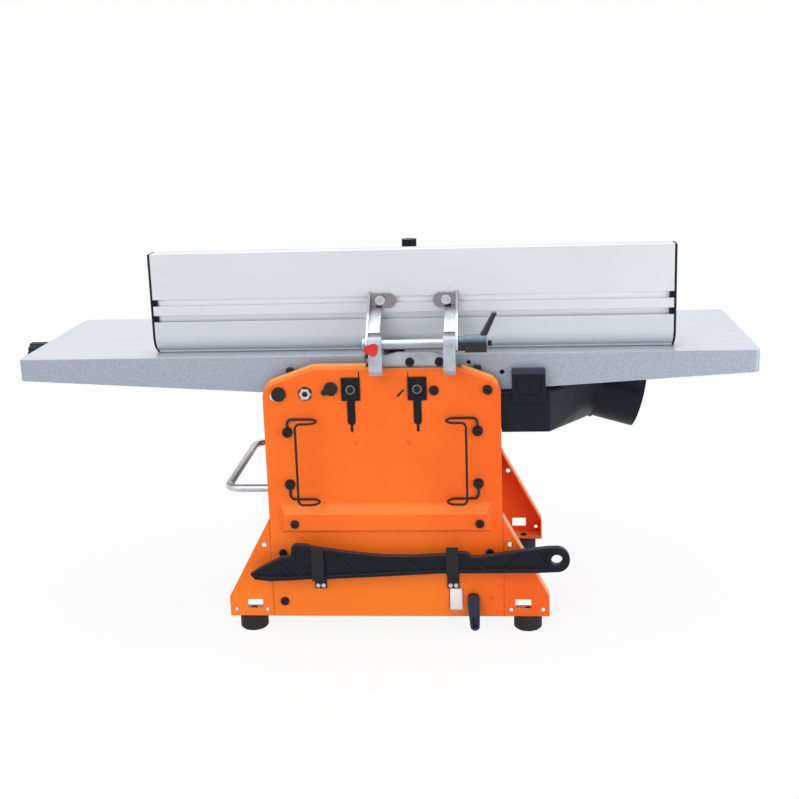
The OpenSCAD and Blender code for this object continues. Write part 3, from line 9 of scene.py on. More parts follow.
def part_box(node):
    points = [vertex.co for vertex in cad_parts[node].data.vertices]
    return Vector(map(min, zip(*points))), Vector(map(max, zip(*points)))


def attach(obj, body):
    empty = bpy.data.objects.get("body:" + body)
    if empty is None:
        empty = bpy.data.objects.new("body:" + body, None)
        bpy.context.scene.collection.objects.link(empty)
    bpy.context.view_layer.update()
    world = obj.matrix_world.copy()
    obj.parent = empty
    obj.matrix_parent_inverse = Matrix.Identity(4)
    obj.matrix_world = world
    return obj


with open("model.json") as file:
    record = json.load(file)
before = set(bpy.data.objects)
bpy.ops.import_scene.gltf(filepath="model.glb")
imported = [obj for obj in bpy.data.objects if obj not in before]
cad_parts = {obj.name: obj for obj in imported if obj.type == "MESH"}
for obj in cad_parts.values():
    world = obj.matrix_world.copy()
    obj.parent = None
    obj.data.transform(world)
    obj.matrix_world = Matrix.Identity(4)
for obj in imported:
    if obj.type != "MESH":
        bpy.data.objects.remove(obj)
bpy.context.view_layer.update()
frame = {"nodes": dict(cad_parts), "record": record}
nodes = frame["nodes"]
slotOf = {s["node"]: s["material_slot"] for s in frame["record"]["subparts"]}

# view: the photograph's camera, fitted to its pixels
viewSpec = {
    "place": (0.1634, -1.6326, 0.6890),
    "yaw": 0.082,
    "pitch": 0.227,
    "roll": -0.032,
    "focalPixels": 1225.19,
    "middle": (401.29, 363.56),  # the pixel straight ahead of the lens
    "side": 799,  # the picture's width and height in pixels
    "sensor": 36.0,
    "clipEnd": 50.0,
}


def placeCamera(spec):
    # right, ahead and up are turned by yaw and pitch, then right and up roll about ahead
    cy, sy = math.cos(spec["yaw"]), math.sin(spec["yaw"])
    cp, sp = math.cos(spec["pitch"]), math.sin(spec["pitch"])
    cr, sr = math.cos(spec["roll"]), math.sin(spec["roll"])
    right = Vector((cy, sy, 0.0))
    ahead = Vector((-sy * cp, cy * cp, -sp))
    up = Vector((-sy * sp, cy * sp, cp))
    rolledRight = cr * right + sr * up
    rolledUp = cr * up - sr * right
    data = bpy.data.cameras.new("photoCamera")
    data.sensor_width = spec["sensor"]
    data.sensor_fit = "HORIZONTAL"
    data.lens = spec["focalPixels"] / spec["side"] * spec["sensor"]
    half = (spec["side"] - 1) / 2
    data.shift_x = -(spec["middle"][0] - half) / spec["side"]
    data.shift_y = (spec["middle"][1] - half) / spec["side"]
    data.clip_end = spec["clipEnd"]
    camera = bpy.data.objects.new("photoCamera", data)
    bpy.context.scene.collection.objects.link(camera)
    turn = Matrix((rolledRight, rolledUp, -ahead)).transposed().to_4x4()
    camera.matrix_world = Matrix.Translation(spec["place"]) @ turn
    bpy.context.scene.camera = camera


placeCamera(viewSpec)
print("camera placed")


# helpers for node trees
def mathNode(tree, kind, first, second=None):
    node = tree.nodes.new("ShaderNodeMath")
    node.operation = kind
    for socket, value in zip(node.inputs, (first, second)):
        if isinstance(value, (int, float)):
            socket.default_value = value
        elif value is not None:
            tree.links.new(value, socket)
    return node.outputs[0]


def vectorNode(tree, kind, first, second=None):
    node = tree.nodes.new("ShaderNodeVectorMath")
    node.operation = kind
    for socket, value in zip(node.inputs, (first, second)):
        if value is not None:
            tree.links.new(value, socket)
    return node


def mixShaders(tree, amount, first, second):
    mix = tree.nodes.new("ShaderNodeMixShader")
    for socket, value in zip(mix.inputs, (amount, first, second)):
        tree.links.new(value, socket)
    return mix.outputs[0]


# studio: white surroundings, soft lamps and a pale floor
studioSpec = {
    "worldTint": (0.97, 0.98, 1.0, 1.0),
    "worldStrength": 0.56,
    "floorColor": (0.92, 0.92, 0.92, 1.0),
    "floorReach": 14.0,
    "floorGlow": 0.9,  # share of plain white under the machine, so its shadow stays pale
    "fadeFrom": 0.75,
    "fadeTo": 1.9,
    "lamps": [  # name, place, aim, size, power
        ("keyLamp", (-1.1, -2.1, 1.7), (0.0, 0.0, 0.25), 1.6, 20.0),
        ("fillLamp", (1.9, -1.4, 0.8), (0.0, 0.0, 0.2), 1.4, 7.0),
        ("sideLamp", (1.3, -0.6, 0.3), (0.2, 0.1, 0.1), 0.8, 4.6),
        ("topLamp", (-0.1, -0.1, 2.3), (0.0, 0.0, 0.3), 2.2, 16.0),
        ("backLamp", (0.0, 1.7, 2.4), (0.0, 0.0, 0.25), 1.8, 13.0),
    ],
}


def whiteForRays(tree):
    # 1 for the rays that see the backdrop: camera, mirror-like and clear ones
    path = tree.nodes.new("ShaderNodeLightPath").outputs
    seen = mathNode(tree, "MAXIMUM", path["Is Camera Ray"], path["Is Glossy Ray"])
    return mathNode(tree, "MAXIMUM", seen, path["Is Transmission Ray"])


def buildWorld(spec):
    scene = bpy.context.scene
    scene.view_settings.view_transform = "Standard"
    world = bpy.data.worlds.new("studioWorld")
    scene.world = world
    world.use_nodes = True
    tree = world.node_tree
    tree.nodes.clear()
    out = tree.nodes.new("ShaderNodeOutputWorld")
    dim = tree.nodes.new("ShaderNodeBackground")
    dim.inputs["Color"].default_value = spec["worldTint"]
    dim.inputs["Strength"].default_value = spec["worldStrength"]
    plain = tree.nodes.new("ShaderNodeBackground")
    plain.inputs["Color"].default_value = (1.0, 1.0, 1.0, 1.0)
    plain.inputs["Strength"].default_value = 1.0
    pick = mixShaders(tree, whiteForRays(tree), dim.outputs[0], plain.outputs[0])
    tree.links.new(pick, out.inputs["Surface"])


def addLamps(spec):
    for name, place, aim, size, power in spec["lamps"]:
        data = bpy.data.lights.new(name, "AREA")
        data.shape = "DISK"
        data.size = size
        data.energy = power
        lamp = bpy.data.objects.new(name, data)
        bpy.context.scene.collection.objects.link(lamp)
        lamp.location = place
        lamp.rotation_euler = (Vector(aim) - Vector(place)).to_track_quat("-Z", "Y").to_euler()


def addFloor(spec):
    # matt near the machine; its glow grows to plain white from fadeFrom to fadeTo
    reach = spec["floorReach"]
    corners = [(-reach, -reach, 0), (reach, -reach, 0), (reach, reach, 0), (-reach, reach, 0)]
    mesh = bpy.data.meshes.new("studioFloor")
    mesh.from_pydata(corners, [], [(0, 1, 2, 3)])
    floor = bpy.data.objects.new("studioFloor", mesh)
    bpy.context.scene.collection.objects.link(floor)
    mat = bpy.data.materials.new("studioFloor")
    mat.use_nodes = True
    tree = mat.node_tree
    tree.nodes.clear()
    out = tree.nodes.new("ShaderNodeOutputMaterial")
    matt = tree.nodes.new("ShaderNodeBsdfDiffuse")
    matt.inputs["Color"].default_value = spec["floorColor"]
    glow = tree.nodes.new("ShaderNodeEmission")
    glow.inputs["Strength"].default_value = 1.0
    coord = tree.nodes.new("ShaderNodeTexCoord")
    away = vectorNode(tree, "LENGTH", coord.outputs["Object"])
    fade = tree.nodes.new("ShaderNodeMapRange")
    fade.interpolation_type = "SMOOTHSTEP"
    fade.inputs["From Min"].default_value = spec["fadeFrom"]
    fade.inputs["From Max"].default_value = spec["fadeTo"]
    fade.inputs["To Min"].default_value = spec["floorGlow"]
    tree.links.new(away.outputs["Value"], fade.inputs["Value"])
    gate = mathNode(tree, "MULTIPLY", fade.outputs["Result"], whiteForRays(tree))
    pick = mixShaders(tree, gate, matt.outputs[0], glow.outputs[0])
    tree.links.new(pick, out.inputs["Surface"])
    mesh.materials.append(mat)


buildWorld(studioSpec)
addLamps(studioSpec)
addFloor(studioSpec)
print("studio lit")

# shared surface effects, each one a node group
effectSpec = {
    "fineDetail": 2.5,
    "broadDetail": 4.0,
    "edgeDetail": 3.0,
    "edgeSamples": 4,
    "lineDetail": 3.0,
}


def openGroup(name, takes, gives):
    group = bpy.data.node_groups.new(name, "ShaderNodeTree")
    for label, value in takes.items():
        socket = group.interface.new_socket(
            name=label, in_out="INPUT", socket_type="NodeSocketFloat")
        socket.default_value = value
    for label, kind in gives.items():
        group.interface.new_socket(name=label, in_out="OUTPUT", socket_type=kind)
    take = group.nodes.new("NodeGroupInput").outputs
    give = group.nodes.new("NodeGroupOutput").inputs
    return group, take, give


def noiseNode(group, vector, scale, detail):
    noise = group.nodes.new("ShaderNodeTexNoise")
    noise.inputs["Detail"].default_value = detail
    group.links.new(vector, noise.inputs["Vector"])
    if isinstance(scale, float):
        noise.inputs["Scale"].default_value = scale
    else:
        group.links.new(scale, noise.inputs["Scale"])
    return noise.outputs[0]


def makeGrainGroup(spec):
    # height = fine noise, tone = broad noise, both 0 to 1
    group, take, give = openGroup(
        "surfaceGrain", {"Scale": 900.0, "Tone Scale": 40.0},
        {"Height": "NodeSocketFloat", "Tone": "NodeSocketFloat"})
    place = group.nodes.new("ShaderNodeTexCoord").outputs["Object"]
    fine = noiseNode(group, place, take["Scale"], spec["fineDetail"])
    broad = noiseNode(group, place, take["Tone Scale"], spec["broadDetail"])
    group.links.new(fine, give["Height"])
    group.links.new(broad, give["Tone"])
    return group


def makeEdgeGroup(spec):
    # edge = how far the rounded normal leans off the flat one, broken up by noise
    group, take, give = openGroup(
        "edgeWearAndHighlight", {"Radius": 0.0012, "Reach": 4.0, "Break": 260.0},
        {"Edge": "NodeSocketFloat", "Soft Normal": "NodeSocketVector"})
    soft = group.nodes.new("ShaderNodeBevel")
    soft.samples = spec["edgeSamples"]
    group.links.new(take["Radius"], soft.inputs["Radius"])
    flat = group.nodes.new("ShaderNodeNewGeometry")
    dot = vectorNode(group, "DOT_PRODUCT", soft.outputs["Normal"], flat.outputs["Normal"])
    place = group.nodes.new("ShaderNodeTexCoord").outputs["Object"]
    noise = noiseNode(group, place, take["Break"], spec["edgeDetail"])
    lean = mathNode(group, "SUBTRACT", 1.0, dot.outputs["Value"])
    strong = mathNode(group, "MULTIPLY", lean, take["Reach"])
    broken = mathNode(group, "MULTIPLY", strong, noise)
    edge = mathNode(group, "MINIMUM", broken, 1.0)
    group.links.new(edge, give["Edge"])
    group.links.new(soft.outputs["Normal"], give["Soft Normal"])
    return group


def makeLineGroup(spec):
    # lines = noise drawn out along X, Y or Z by unequal scales
    group, take, give = openGroup(
        "drawnLines", {"Scale X": 6.0, "Scale Y": 700.0, "Scale Z": 700.0},
        {"Lines": "NodeSocketFloat"})
    place = group.nodes.new("ShaderNodeTexCoord").outputs["Object"]
    parts = group.nodes.new("ShaderNodeCombineXYZ")
    for socket, label in zip(parts.inputs, ("Scale X", "Scale Y", "Scale Z")):
        group.links.new(take[label], socket)
    stretch = vectorNode(group, "MULTIPLY", place, parts.outputs[0])
    noise = noiseNode(group, stretch.outputs[0], 1.0, spec["lineDetail"])
    group.links.new(noise, give["Lines"])
    return group


def makeTopGroup():
    # top = 1 on faces that look up, falling to 0 as they lean over
    group, take, give = openGroup(
        "facingUp", {"From": 0.6, "To": 0.95}, {"Top": "NodeSocketFloat"})
    flat = group.nodes.new("ShaderNodeNewGeometry")
    split = group.nodes.new("ShaderNodeSeparateXYZ")
    ramp = group.nodes.new("ShaderNodeMapRange")
    group.links.new(flat.outputs["Normal"], split.inputs[0])
    group.links.new(split.outputs["Z"], ramp.inputs["Value"])
    group.links.new(take["From"], ramp.inputs["From Min"])
    group.links.new(take["To"], ramp.inputs["From Max"])
    group.links.new(ramp.outputs["Result"], give["Top"])
    return group


groups = {
    "grain": makeGrainGroup(effectSpec),
    "edge": makeEdgeGroup(effectSpec),
    "lines": makeLineGroup(effectSpec),
    "top": makeTopGroup(),
}
print("effects:", ", ".join(g.name for g in groups.values()))


def srgb(r, g, b):
    # a colour as a screen shows it, 0 to 255, made linear
    c = np.array([r, g, b], float) / 255.0
    lin = np.where(c <= 0.04045, c / 12.92, ((c + 0.055) / 1.055) ** 2.4)
    return tuple(float(x) for x in lin) + (1.0,)


# finishes: one entry for each of the machine's own surfaces
# dark, light, edge: colours, the edge colour partly rubbed finish and partly a painted
# highlight; rough: lowest and highest; grain, tone: noise scales
# painted light and shade by span: axis, low, high, colour; painted light and shade by band:
# axis, start, end, colour; lengths in metres
finishSpec = {
    "orange_coat": {
        "dark": srgb(243, 101, 12), "light": srgb(250, 113, 24), "edge": srgb(255, 158, 74),
        "rough": (0.42, 0.52), "grain": 1500.0, "tone": 9.0, "bump": 0.05,
        "wearAndHighlight": 0.55, "round": 0.003, "specular": 0.3,
        # painted highlight: top is the paler colour of faces that look up
        "top": srgb(255, 168, 84), "paintedSkyLightSpan": (0.25, 0.7),
        # painted light: paler and yellower towards the bottom; painted shade: darker and redder
        # towards +X
        "paintedLightBands": [("Z", 0.15, 0.05, srgb(253, 124, 24)), ("X", 0.08, 0.18, srgb(243, 93, 9))],
    },
    "table_cast": {
        "dark": srgb(148, 157, 170), "light": srgb(168, 177, 190), "edge": srgb(236, 240, 246),
        "rough": (0.40, 0.58), "grain": 700.0, "tone": 420.0, "bump": 0.14,
        "wearAndHighlight": 0.9, "round": 0.0018, "metal": 0.4,
        "lines": (5.0, 900.0, 500.0), "top": srgb(214, 219, 227), "topRough": 0.36,
    },
    "fence_alu": {
        "dark": srgb(207, 211, 215), "light": srgb(212, 216, 220), "edge": srgb(238, 240, 242),
        "rough": (0.34, 0.42), "grain": 900.0, "tone": 5.0, "bump": 0.03,
        "wearAndHighlight": 0.5, "round": 0.0006, "metal": 0.3, "lines": (2.0, 700.0, 700.0),
        # painted light: the T-slot floor between these Y places is made paler, as if light
        # reached into it
        "paintedLightSpans": [("Y", -0.1474, -0.1414, srgb(236, 239, 242))],
        # painted shade: the fence darkens towards its foot, below Z 0.412 to 0.400
        "paintedLightBands": [("Z", 0.412, 0.400, srgb(197, 205, 211))],
    },
    "fence_lug_alu": {
        "dark": srgb(160, 166, 176), "light": srgb(184, 190, 198), "edge": srgb(230, 233, 238),
        "rough": (0.30, 0.44), "grain": 700.0, "tone": 60.0, "bump": 0.08,
        "wearAndHighlight": 0.6, "round": 0.0012, "metal": 0.7,
    },
    "bare_steel": {
        "dark": srgb(150, 152, 156), "light": srgb(178, 180, 184), "edge": srgb(225, 227, 230),
        "rough": (0.25, 0.40), "grain": 800.0, "tone": 50.0, "bump": 0.04,
        "wearAndHighlight": 0.6, "round": 0.0006, "metal": 1.0, "lines": (600.0, 8.0, 600.0),
    },
    "wall_steel": {
        "dark": srgb(138, 141, 146), "light": srgb(160, 163, 168), "edge": srgb(205, 208, 212),
        "rough": (0.35, 0.5), "grain": 500.0, "tone": 30.0, "bump": 0.05,
        "wearAndHighlight": 0.6, "round": 0.0008, "metal": 0.9,
    },
    "zinc": {
        "dark": srgb(178, 181, 187), "light": srgb(206, 209, 213), "edge": srgb(240, 242, 245),
        "rough": (0.20, 0.34), "grain": 1100.0, "tone": 90.0, "bump": 0.012,
        "wearAndHighlight": 0.35, "round": 0.0007, "metal": 0.9,
    },
    "black_steel": {
        "dark": srgb(13, 14, 17), "light": srgb(24, 25, 30), "edge": srgb(70, 74, 80),
        "rough": (0.38, 0.52), "grain": 1200.0, "tone": 80.0, "bump": 0.04,
        "wearAndHighlight": 0.35, "round": 0.0005, "specular": 0.3,
    },
    "motor_grey": {
        "dark": srgb(46, 48, 52), "light": srgb(62, 64, 69), "edge": srgb(104, 106, 112),
        "rough": (0.4, 0.55), "grain": 900.0, "tone": 60.0, "bump": 0.1,
        "wearAndHighlight": 0.4, "round": 0.0012,
    },
    "black_plastic": {
        "dark": srgb(8, 13, 24), "light": srgb(13, 19, 31), "edge": srgb(60, 66, 78),
        "rough": (0.40, 0.52), "grain": 1400.0, "tone": 60.0, "bump": 0.07,
        "wearAndHighlight": 0.35, "round": 0.0012, "specular": 0.2,
        # painted highlight: faces that look up are made a paler blue-grey
        "top": srgb(50, 59, 72), "paintedSkyLightSpan": (0.4, 0.9),
    },
    "lever_plastic": {
        "dark": srgb(22, 34, 54), "light": srgb(34, 48, 70), "edge": srgb(84, 98, 122),
        "rough": (0.42, 0.54), "grain": 1400.0, "tone": 60.0, "bump": 0.07,
        "wearAndHighlight": 0.35, "round": 0.0016, "specular": 0.3,
    },
    "guard_red": {
        "dark": srgb(186, 34, 26), "light": srgb(206, 46, 36), "edge": srgb(226, 110, 100),
        "rough": (0.34, 0.46), "grain": 1500.0, "tone": 40.0, "bump": 0.05,
        "wearAndHighlight": 0.4, "round": 0.001,
    },
    "pointer_red": {
        "dark": srgb(196, 24, 22), "light": srgb(216, 40, 34), "edge": srgb(236, 110, 100),
        "rough": (0.25, 0.35), "grain": 900.0, "tone": 90.0, "bump": 0.03,
        "wearAndHighlight": 0.3, "round": 0.0005,
    },
    "button_green": {
        "dark": srgb(24, 132, 54), "light": srgb(40, 152, 70), "edge": srgb(120, 200, 140),
        "rough": (0.25, 0.35), "grain": 900.0, "tone": 90.0, "bump": 0.03,
        "wearAndHighlight": 0.3, "round": 0.001,
    },
    "button_red": {
        "dark": srgb(190, 26, 22), "light": srgb(210, 42, 36), "edge": srgb(236, 110, 100),
        "rough": (0.25, 0.35), "grain": 900.0, "tone": 90.0, "bump": 0.03,
        "wearAndHighlight": 0.3, "round": 0.001,
    },
    "brass": {
        "dark": srgb(176, 142, 70), "light": srgb(204, 170, 96), "edge": srgb(232, 206, 140),
        "rough": (0.24, 0.36), "grain": 800.0, "tone": 80.0, "bump": 0.04,
        "wearAndHighlight": 0.5, "round": 0.0005, "metal": 1.0,
    },
    "rubber": {
        "dark": srgb(27, 27, 29), "light": srgb(42, 42, 45), "edge": srgb(66, 66, 70),
        "rough": (0.66, 0.8), "grain": 1100.0, "tone": 70.0, "bump": 0.14,
        "wearAndHighlight": 0.35, "round": 0.0012, "specular": 0.3,
    },
    "chain_steel": {
        "dark": srgb(56, 55, 56), "light": srgb(84, 82, 80), "edge": srgb(150, 148, 146),
        "rough": (0.3, 0.5), "grain": 1000.0, "tone": 120.0, "bump": 0.06,
        "wearAndHighlight": 0.6, "round": 0.0003, "metal": 0.9,
    },
    "plate_white": {
        "dark": srgb(244, 246, 248), "light": srgb(251, 252, 253), "edge": srgb(255, 255, 255),
        "rough": (0.5, 0.6), "grain": 900.0, "tone": 40.0, "bump": 0.02,
        "wearAndHighlight": 0.3, "round": 0.0006,
    },
}
# nodes whose look differs from the rest of their slot, most of them by painted light and shade
# painted highlight on faces that look up, and painted shadow lines where the cover's edges meet
# the base plate; the orange's painted light carries over
finishSpec["base_coat_painted_light_and_shade"] = dict(
    finishSpec["orange_coat"], top=srgb(255, 205, 150),
    paintedSeamShadow=srgb(214, 82, 10), paintedSeamShadowAt=(-0.131, 0.165), paintedSeamShadowHalf=0.0009)
# painted reflection: the arms' tabs above Z 0.410 to 0.417 are made dark, as if mirroring dark
# surroundings
finishSpec["arm_zinc_painted_reflection"] = dict(
    finishSpec["zinc"], paintedLightBands=[("Z", 0.410, 0.417, srgb(138, 134, 138))])
# painted shade: the frame bolts between X -0.03 and 0.08 are made darker grey
finishSpec["bolt_zinc_painted_shade"] = dict(
    finishSpec["zinc"], paintedLightSpans=[("X", -0.03, 0.08, srgb(112, 118, 116))])
finishSpec["bar_zinc"] = dict(
    finishSpec["zinc"], rough=(0.34, 0.42), wearAndHighlight=0.1, bump=0.0, round=0.0003)
# painted highlight: the rod's upper side is made near white
finishSpec["rod_steel_painted_highlight"] = dict(
    finishSpec["zinc"], dark=srgb(140, 151, 158), light=srgb(154, 165, 172), tone=30.0,
    top=srgb(232, 236, 240), paintedSkyLightSpan=(0.3, 0.85))
# glossier black plastic with a painted highlight: faces that look up are made pale blue-grey
finishSpec["lever_gloss_painted_highlight"] = dict(
    finishSpec["black_plastic"], dark=srgb(16, 20, 30), light=srgb(24, 30, 42),
    rough=(0.2, 0.3), specular=0.4, bump=0.02, top=srgb(122, 138, 154), paintedSkyLightSpan=(0.25, 0.85))
ownFinish = {
    "base_plate_rear": "base_coat_painted_light_and_shade",
    "frame_bolts": "bolt_zinc_painted_shade",
    "bed_support_bar": "bar_zinc",
    "fence_arms": "arm_zinc_painted_reflection",
    "fence_rod": "rod_steel_painted_highlight",
    "fence_lever": "lever_gloss_painted_highlight",
}
shareSpec = {
    "toneFrom": 0.3,  # part of the noise that is drawn out to 0 to 1
    "toneTo": 0.7,
    "lineRelief": 0.5,
    "lineRough": 0.08,
    "groundStreak": 0.5,
    "groundRough": 0.12,
    "reliefDepth": 0.001,
}


def useGroup(tree, kind, **values):
    node = tree.nodes.new("ShaderNodeGroup")
    node.node_tree = groups[kind]
    for label, value in values.items():
        node.inputs[label.replace("_", " ")].default_value = value
    return node.outputs


def mixColors(tree, amount, first, second):
    mix = tree.nodes.new("ShaderNodeMix")
    mix.data_type = "RGBA"
    tree.links.new(amount, mix.inputs[0])
    for socket, value in ((mix.inputs[6], first), (mix.inputs[7], second)):  # its colour sockets
        if isinstance(value, tuple):
            socket.default_value = value
        else:
            tree.links.new(value, socket)
    return mix.outputs[2]


def spread(tree, value, low, high, fromLow=shareSpec["toneFrom"], fromHigh=shareSpec["toneTo"]):
    node = tree.nodes.new("ShaderNodeMapRange")
    node.inputs["From Min"].default_value = fromLow
    node.inputs["From Max"].default_value = fromHigh
    node.inputs["To Min"].default_value = low
    node.inputs["To Max"].default_value = high
    tree.links.new(value, node.inputs["Value"])
    return node.outputs["Result"]


def addStreaks(tree, spec, color, rough, height):
    # drawn lines share the relief and add to the roughness; a ground upper face has its own look
    across = dict(zip(("Scale_X", "Scale_Y", "Scale_Z"), spec["lines"]))
    streak = spread(tree, useGroup(tree, "lines", **across)["Lines"], 0.0, 1.0)
    lineHeight = mathNode(tree, "MULTIPLY", streak, shareSpec["lineRelief"])
    height = mathNode(tree, "MULTIPLY", height, 1.0 - shareSpec["lineRelief"])
    height = mathNode(tree, "ADD", height, lineHeight)
    lineRough = mathNode(tree, "MULTIPLY", streak, shareSpec["lineRough"])
    rough = mathNode(tree, "ADD", rough, lineRough)
    if "topRough" in spec:
        top = useGroup(tree, "top")["Top"]
        amount = mathNode(tree, "MULTIPLY", streak, shareSpec["groundStreak"])
        color = mixColors(tree, top, color, mixColors(tree, amount, spec["top"], spec["light"]))
        groundRough = mathNode(tree, "MULTIPLY", streak, shareSpec["groundRough"])
        smooth = mathNode(tree, "ADD", groundRough, spec["topRough"])
        keep = mathNode(tree, "MULTIPLY", rough, mathNode(tree, "SUBTRACT", 1.0, top))
        rough = mathNode(tree, "ADD", keep, mathNode(tree, "MULTIPLY", smooth, top))
    return color, rough, height


def addPaintedLightByPlace(tree, spec, color):
    # painted light and shade told by place: a span has sharp ends, a band changes slowly, a seam
    # line is a painted shadow
    coord = tree.nodes.new("ShaderNodeTexCoord")
    split = tree.nodes.new("ShaderNodeSeparateXYZ")
    tree.links.new(coord.outputs["Object"], split.inputs[0])
    place = split.outputs
    for axis, low, high, other in spec.get("paintedLightSpans", ()):
        above = mathNode(tree, "GREATER_THAN", place[axis], low)
        below = mathNode(tree, "LESS_THAN", place[axis], high)
        color = mixColors(tree, mathNode(tree, "MULTIPLY", above, below), color, other)
    for axis, start, end, other in spec.get("paintedLightBands", ()):
        color = mixColors(tree, spread(tree, place[axis], 0.0, 1.0, start, end), color, other)
    for middle in spec.get("paintedSeamShadowAt", ()):
        far = mathNode(tree, "ABSOLUTE", mathNode(tree, "SUBTRACT", place["X"], middle))
        near = spread(tree, far, 1.0, 0.0, 0.0, spec["paintedSeamShadowHalf"])
        color = mixColors(tree, near, color, spec["paintedSeamShadow"])
    return color


def makeFinish(name, spec):
    # colour = dark to light by tone, then lines, painted light and shade by place, a painted
    # highlight on faces that look up, and edges partly rubbed, partly a painted highlight
    # roughness follows the tone; relief follows grain and lines on a softened normal
    mat = bpy.data.materials.new(name)
    mat.use_nodes = True
    tree = mat.node_tree
    surface = tree.nodes["Principled BSDF"].inputs
    grain = useGroup(tree, "grain", Scale=spec["grain"], Tone_Scale=spec["tone"])
    edge = useGroup(tree, "edge", Radius=spec["round"])
    color = mixColors(tree, spread(tree, grain["Tone"], 0.0, 1.0), spec["dark"], spec["light"])
    rough = spread(tree, grain["Tone"], *spec["rough"])
    height = grain["Height"]
    if "lines" in spec:
        color, rough, height = addStreaks(tree, spec, color, rough, height)
    color = addPaintedLightByPlace(tree, spec, color)
    if "paintedSkyLightSpan" in spec:  # painted highlight: colour made paler where the face looks up, standing in for light from above
        start, end = spec["paintedSkyLightSpan"]
        paintedSkyLight = useGroup(tree, "top", From=start, To=end)["Top"]
        color = mixColors(tree, paintedSkyLight, color, spec["top"])
    # edges drawn towards the edge colour: partly rubbed finish, partly a painted highlight
    wornAndHighlighted = mathNode(tree, "MULTIPLY", edge["Edge"], spec["wearAndHighlight"])
    color = mixColors(tree, wornAndHighlighted, color, spec["edge"])
    relief = tree.nodes.new("ShaderNodeBump")
    relief.inputs["Strength"].default_value = spec["bump"]
    relief.inputs["Distance"].default_value = shareSpec["reliefDepth"]
    tree.links.new(height, relief.inputs["Height"])
    tree.links.new(edge["Soft Normal"], relief.inputs["Normal"])
    tree.links.new(color, surface["Base Color"])
    tree.links.new(rough, surface["Roughness"])
    tree.links.new(relief.outputs["Normal"], surface["Normal"])
    surface["Metallic"].default_value = spec.get("metal", 0.0)
    surface["Specular IOR Level"].default_value = spec.get("specular", 0.5)
    return mat


finishes = {name: makeFinish(name, spec) for name, spec in finishSpec.items()}


def dress(obj, mat):
    obj.data.materials.clear()
    obj.data.materials.append(mat)


for name, obj in nodes.items():
    dress(obj, finishes[ownFinish.get(name, slotOf[name])])
print("finishes:", len(finishes), "on", len(nodes), "nodes")


# small pieces that the solids leave to the eye, each a surface over a grid
def gridFaces(rows, columns, closed):
    # one face for each cell; the last column joins the first where the grid closes on itself
    across = np.arange(columns if closed else columns - 1)
    i, j = np.meshgrid(np.arange(rows - 1), across, indexing="ij")
    k = (j + 1) % columns
    near, far = i * columns, (i + 1) * columns
    return np.stack([near + j, near + k, far + k, far + j], -1).reshape(-1, 4)


def tubeFaces(rows, columns, copies=1):
    # for each copy, a closed strip of rings with a flat face over each end
    starts = np.arange(copies) * rows * columns
    sides = gridFaces(rows, columns, True)[None, :, :] + starts[:, None, None]
    ring = np.arange(columns)[None, :] + starts[:, None]
    ends = np.concatenate([ring[:, ::-1], ring + (rows - 1) * columns])
    return sides.reshape(-1, 4).tolist() + ends.tolist()


def ringAngles(count):
    # equal steps round one full turn, without the closing one
    return np.linspace(0.0, 2.0 * np.pi, count, endpoint=False)


def addPiece(name, points, faces, body, slot, finish=None):
    mesh = bpy.data.meshes.new(name)
    mesh.from_pydata(np.asarray(points).reshape(-1, 3).tolist(), [], faces)
    mesh.validate()
    mesh.shade_smooth()
    piece = bpy.data.objects.new(name, mesh)
    bpy.context.scene.collection.objects.link(piece)
    dress(piece, finishes[finish or slot])
    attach(piece, body)


# depth screw's thread
threadSpec = {
    "pitch": 0.003,
    "core": 0.0048,  # radius at the ridge's foot
    "crest": 0.00535,  # radius at its top
    "foot": 0.0011,  # half widths
    "tip": 0.0004,
    "from": 0.022,  # past the knob
    "to": 0.378,
    "runOut": 0.5,  # turns
    "steps": 24,
}


def addDepthThread(spec):
    # a four-sided ridge carried along a helix: x grows with the turn, height fades at both ends
    low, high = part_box("depth_screw")
    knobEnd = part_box("depth_knob")[1].x
    middle = (low + high) / 2
    turns = (spec["to"] - spec["from"]) / spec["pitch"]
    turn = np.linspace(0.0, turns, int(turns * spec["steps"]))[:, None]
    section = [-spec["foot"], -spec["tip"], spec["tip"], spec["foot"]]
    across = np.array(section)[None, :]
    fade = np.clip(np.minimum(turn, turns - turn) / spec["runOut"], 0.0, 1.0)
    crest = spec["core"] + (spec["crest"] - spec["core"]) * fade
    radius = np.where(np.abs(across) < spec["foot"], crest, spec["core"])
    x = knobEnd + spec["from"] + turn * spec["pitch"] + across
    angle = turn * 2.0 * np.pi
    y = middle.y + radius * np.cos(angle)
    z = middle.z + radius * np.sin(angle)
    faces = tubeFaces(len(turn), len(section))
    addPiece("depthThread", np.stack([x, y, z], -1), faces, "depth_knob", "zinc")


addDepthThread(threadSpec)

# insert in the window beside the clutch lever
plateSpec = {
    "left": 0.0954,
    "right": 0.1126,
    "foot": 0.0294,
    "top": 0.0596,
    "sheet": 0.0004,  # behind the base plate's front
    "proud": 0.0014,
    "rim": 0.0022,
    "panel": 0.0006,  # how deep the panel lies inside the rim
    "columns": 33,
    "rows": 41,
}


